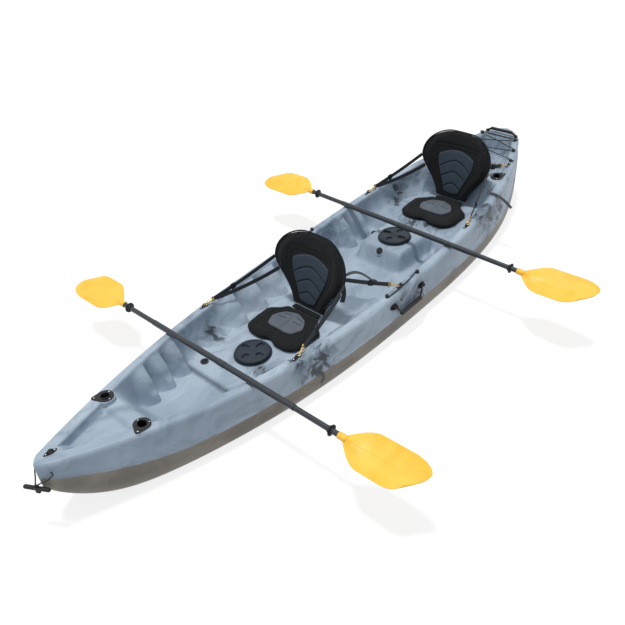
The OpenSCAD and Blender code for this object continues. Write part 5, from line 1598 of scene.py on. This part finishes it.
class KAYAK_OT_straps(Operator):
    """Webbing from the backrests to the hooks, its buckles, spare loops and the loose tail"""
    bl_idname = "kayak.straps"
    bl_label = "Straps"

    def execute(self, context):
        finish = finish_of("webbing")
        for end, fold in FOLDS.items():
            hub = Vector(fold)
            off = WEB_T / 2 + 0.4
            upper = hub + Vector(back_at(1, 0.58, 0)) + Vector((0, off + 0.2, 0))
            lower = hub + Vector(back_at(1, 0.42, 0)) + Vector((0, off + 7.2, 0))
            aft = hub + Vector(back_at(0.66, 0.56, -0.5 * back_t(0.66, 0.56)))
            fore_hook = hook_end(EYES[end][0], -1, upper)
            aft_hook = hook_end(EYES[end][1], 1, aft)
            runs = (("upper", upper, fore_hook, SLACK),
                    ("lower", lower, fore_hook + Vector((-9, -3.6, -3)), 2 * SLACK),
                    ("aft", aft, aft_hook, SLACK))
            for side, name in SIDES:
                turn = Vector((1, side, 1))
                for part, a, b, slack in runs:
                    a, b = a * turn, b * turn
                    strap = ribbon(f"{end}_{name}_{part}_strap", sagging(a, b, slack), finish)
                    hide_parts(f"{end}_straps")
                    tuple(b * MM)
                    tuple(a * MM)
                    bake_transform(strap)
                    if part != "lower":
                        buckle = self.buckle(f"{end}_{name}_{part}_buckle", f"{end}_buckles", side,
                                             part == "upper", hub.x)
                        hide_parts(f"{end}_buckles")
                        tuple(b * MM)
                        tuple(a * MM)
                        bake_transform(buckle)
                self.slack(f"{end}_{name}", f"{end}_back", aft * turn, aft_hook * turn, side, end == "front")
        route = [(-1130, crest(-1130) - y, sheer(-1130) + z) for y, z in
                 ((50, 2.9), (22, 3), (4, 2.7), (-12, -3.5), (-40, -14), (-72, -32), (-104, -56))]
        tail = ribbon("loose_tail", spline(route), finish, (1, 0, 0))
        settle_on(tail, "hull", "webbing", "rear_strap_tail")
        return {"FINISHED"}

    @staticmethod
    def buckle(name, node, side, fore, fold):
        """One buckle out of a node's four, as a piece of its own."""
        bm = bmesh.new()
        bm.from_mesh(NODES[node].data)
        others = [v for v in bm.verts if v.co.y * side < 0 or (v.co.x > fold * MM) != fore]
        bmesh.ops.delete(bm, geom=others, context="VERTS")
        return from_bmesh(name, bm, finish_of("black_plastic"), smooth=35, scale=1)

    @staticmethod
    def slack(name, back, a, b, side, roomy):
        """Spare webbing of an aft strap: a loop over it and, where there is room, a hanging end."""
        finish = finish_of("webbing")
        run = b - a
        across = Vector((-run.y, run.x, 0)).normalized() * side
        loop = []
        for t in np.linspace(0, 1, 33):
            rise = math.sin(math.pi * t) ** 1.3
            up = Vector((0, 0, (46 if roomy else 30) * rise))
            loop.append(a + run * (0.05 + 0.72 * t) + across * (3.2 + 9 * rise) + up)
        pieces = [(ribbon(f"{name}_slack_loop", loop, finish, turned=across), b, a)]
        if roomy:
            top = a + run * 0.10 - across * 3.2
            bends = ((0, 4), (-3, -30), (-12, -72), (-10, -110), (6, -146))
            hang = spline([top + Vector((x, 0, z)) for x, z in bends])
            lie = across.cross(Vector((0, 0, 1)))
            pieces.append((ribbon(f"{name}_slack_end", hang, finish, lie), hang[-1], hang[0]))
        for piece, low, high in pieces:
            tuple(low * MM)
            tuple(high * MM)
            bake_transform(piece)


# Paddles

BLADE_ROOT, BLADE_START, BLADE_LONG, BLADE_HALF = 745, 29.5, 410.5, 92
BLADE_EDGE, BLADE_MID, BLADE_LEAN = 3.6, 9, 18
# the neck that takes the shaft, as places along it and radii, from its mouth over the outside to its bore
NECK = ((0, 13.2), (0, 15.6), (2, 16.5), (26, 16.5), (32, 15.8), (38, 13.6), (44, 9.5), (48, 5), (49, 0.2),
        (28.8, 0.2), (28.8, 13), (0.5, 13.1))


def shaft_line(end):
    """Middle and direction of a paddle's shaft, where its two halves turn at the ferrule."""
    joints = frame["record"]["behaviour"]["joints"]
    feather = next(joint for joint in joints if joint["name"] == f"{end}_paddle_feather")
    return Vector(feather["pos_m"]) / MM, Vector(feather["axis"]).normalized()


def blade_half(s):
    """Half width of a blade at a share of its length."""
    wide = BLADE_HALF * math.sin(math.pi / 2 * min(1, 0.12 + s / 0.38))
    return wide * (0.46 + 0.54 * math.sqrt(1 - unit((s - 0.70) / 0.30) ** 2))


def blade_point(s, u, t):
    """A point of a blade at a share of its length and width, on its front (t = 0) or back (t = 1)."""
    y = BLADE_LONG * s * (1 - 0.17 * (u + 1) / 2 * ease(s)) - 9 * u * u * ease((s - 0.6) / 0.4)
    mid = 10 * u * u * ease(s / 0.4) + 20 * s * s - 3
    spine = 16 * (1 - ease(s / 0.35)) * (1 - abs(u)) ** 2.5
    ridge = (BLADE_MID + 6 * (1 - ease(s / 0.25)) - BLADE_EDGE) * (1 - 0.5 * s)
    thick = BLADE_EDGE + ridge * (1 - abs(u)) ** 1.6
    groove = 3.2 * bell((u - 0.05) / 0.055) * ease(s / 0.12) * (1 - ease((s - 0.6) / 0.3))
    return blade_half(s) * u, BLADE_ROOT + BLADE_START + y, mid - thick if t else mid + spine - groove


class KAYAK_OT_paddles(Operator):
    """Shafts and blades of both paddles"""
    bl_idname = "kayak.paddles"
    bl_label = "Paddles"

    def execute(self, context):
        for end in ("front", "rear"):
            hub, y = shaft_line(end)
            x = y.cross(Vector((0, 0, 1))).normalized()
            place = Matrix((x, y, x.cross(y))).transposed().to_4x4()
            place.translation = hub
            for side, name in SIDES:
                dress(f"{end}_paddle_{name}", "shaft_aluminium")
                blade = self.blade(f"{end}_{name}_blade", place @ Matrix.Diagonal((side, side, side, 1)))
                settle_on(blade, f"{end}_{name}_half", "blade_plastic", f"{end}_blade_{name}")
        return {"FINISHED"}

    @staticmethod
    def blade(name, place):
        """A spooned blade with a spine, on a tapered neck that takes the shaft."""
        lean = place @ Matrix.Rotation(math.radians(BLADE_LEAN), 4, "Y")
        s_rows = [i / 60 for i in range(57)] + [0.95, 0.962, 0.973, 0.982, 0.99, 0.996, 1.0]
        u_rows = np.sin(np.linspace(-math.pi / 2, math.pi / 2, 45))
        grids = [[[lean @ Vector(blade_point(s, u, t)) for u in u_rows] for s in s_rows] for t in (0, 1)]
        blade = shape(name, *closed_grid(*grids), finish_of("blade_plastic"), smooth=48)
        turns = np.linspace(0, 2 * math.pi, 48, endpoint=False)
        rows = [[place @ Vector((r * math.cos(a), BLADE_ROOT + y, r * math.sin(a))) for a in turns]
                for y, r in NECK]
        neck = shape("neck", *loft(rows + rows[:1], caps=False), finish_of("blade_plastic"), smooth=40)
        turn_out(neck.data, merge=1e-6)
        with bpy.context.temp_override(active_object=blade, selected_editable_objects=[blade, neck]):
            bpy.ops.object.join()
        return blade


# Panel and run

OPERATORS = (KAYAK_OT_stage, KAYAK_OT_hull, KAYAK_OT_hatches, KAYAK_OT_fittings, KAYAK_OT_cords,
             KAYAK_OT_seats, KAYAK_OT_straps, KAYAK_OT_paddles)
SETTINGS = {"kayak_stage": KayakStage, "kayak_hull": KayakHull, "kayak_seats": KayakSeats,
            "kayak_paddles": KayakPaddles, "kayak_fittings": KayakFittings}


class KAYAK_PT_panel(Panel):
    """Settings and steps of the kayak"""
    bl_idname = "KAYAK_PT_panel"
    bl_label = "Tandem kayak"
    bl_space_type = "VIEW_3D"
    bl_region_type = "UI"
    bl_category = "Kayak"

    def draw(self, context):
        for group in SETTINGS:
            box = self.layout.box()
            box.label(text=group.split("_")[1].capitalize())
            for key in SETTINGS[group].__annotations__:
                box.prop(getattr(context.scene, group), key)
        for operator in OPERATORS:
            self.layout.operator(operator.bl_idname)


CLASSES = (*SETTINGS.values(), *OPERATORS, KAYAK_PT_panel)


def register():
    for cls in CLASSES:
        bpy.utils.register_class(cls)
    for name, cls in SETTINGS.items():
        setattr(bpy.types.Scene, name, PointerProperty(type=cls))


def unregister():
    for name in SETTINGS:
        delattr(bpy.types.Scene, name)
    for cls in reversed(CLASSES):
        bpy.utils.unregister_class(cls)


def main():
    register()
    for operator in OPERATORS:
        group, name = operator.bl_idname.split(".")
        getattr(getattr(bpy.ops, group), name)()


if __name__ == "__main__":
    main()
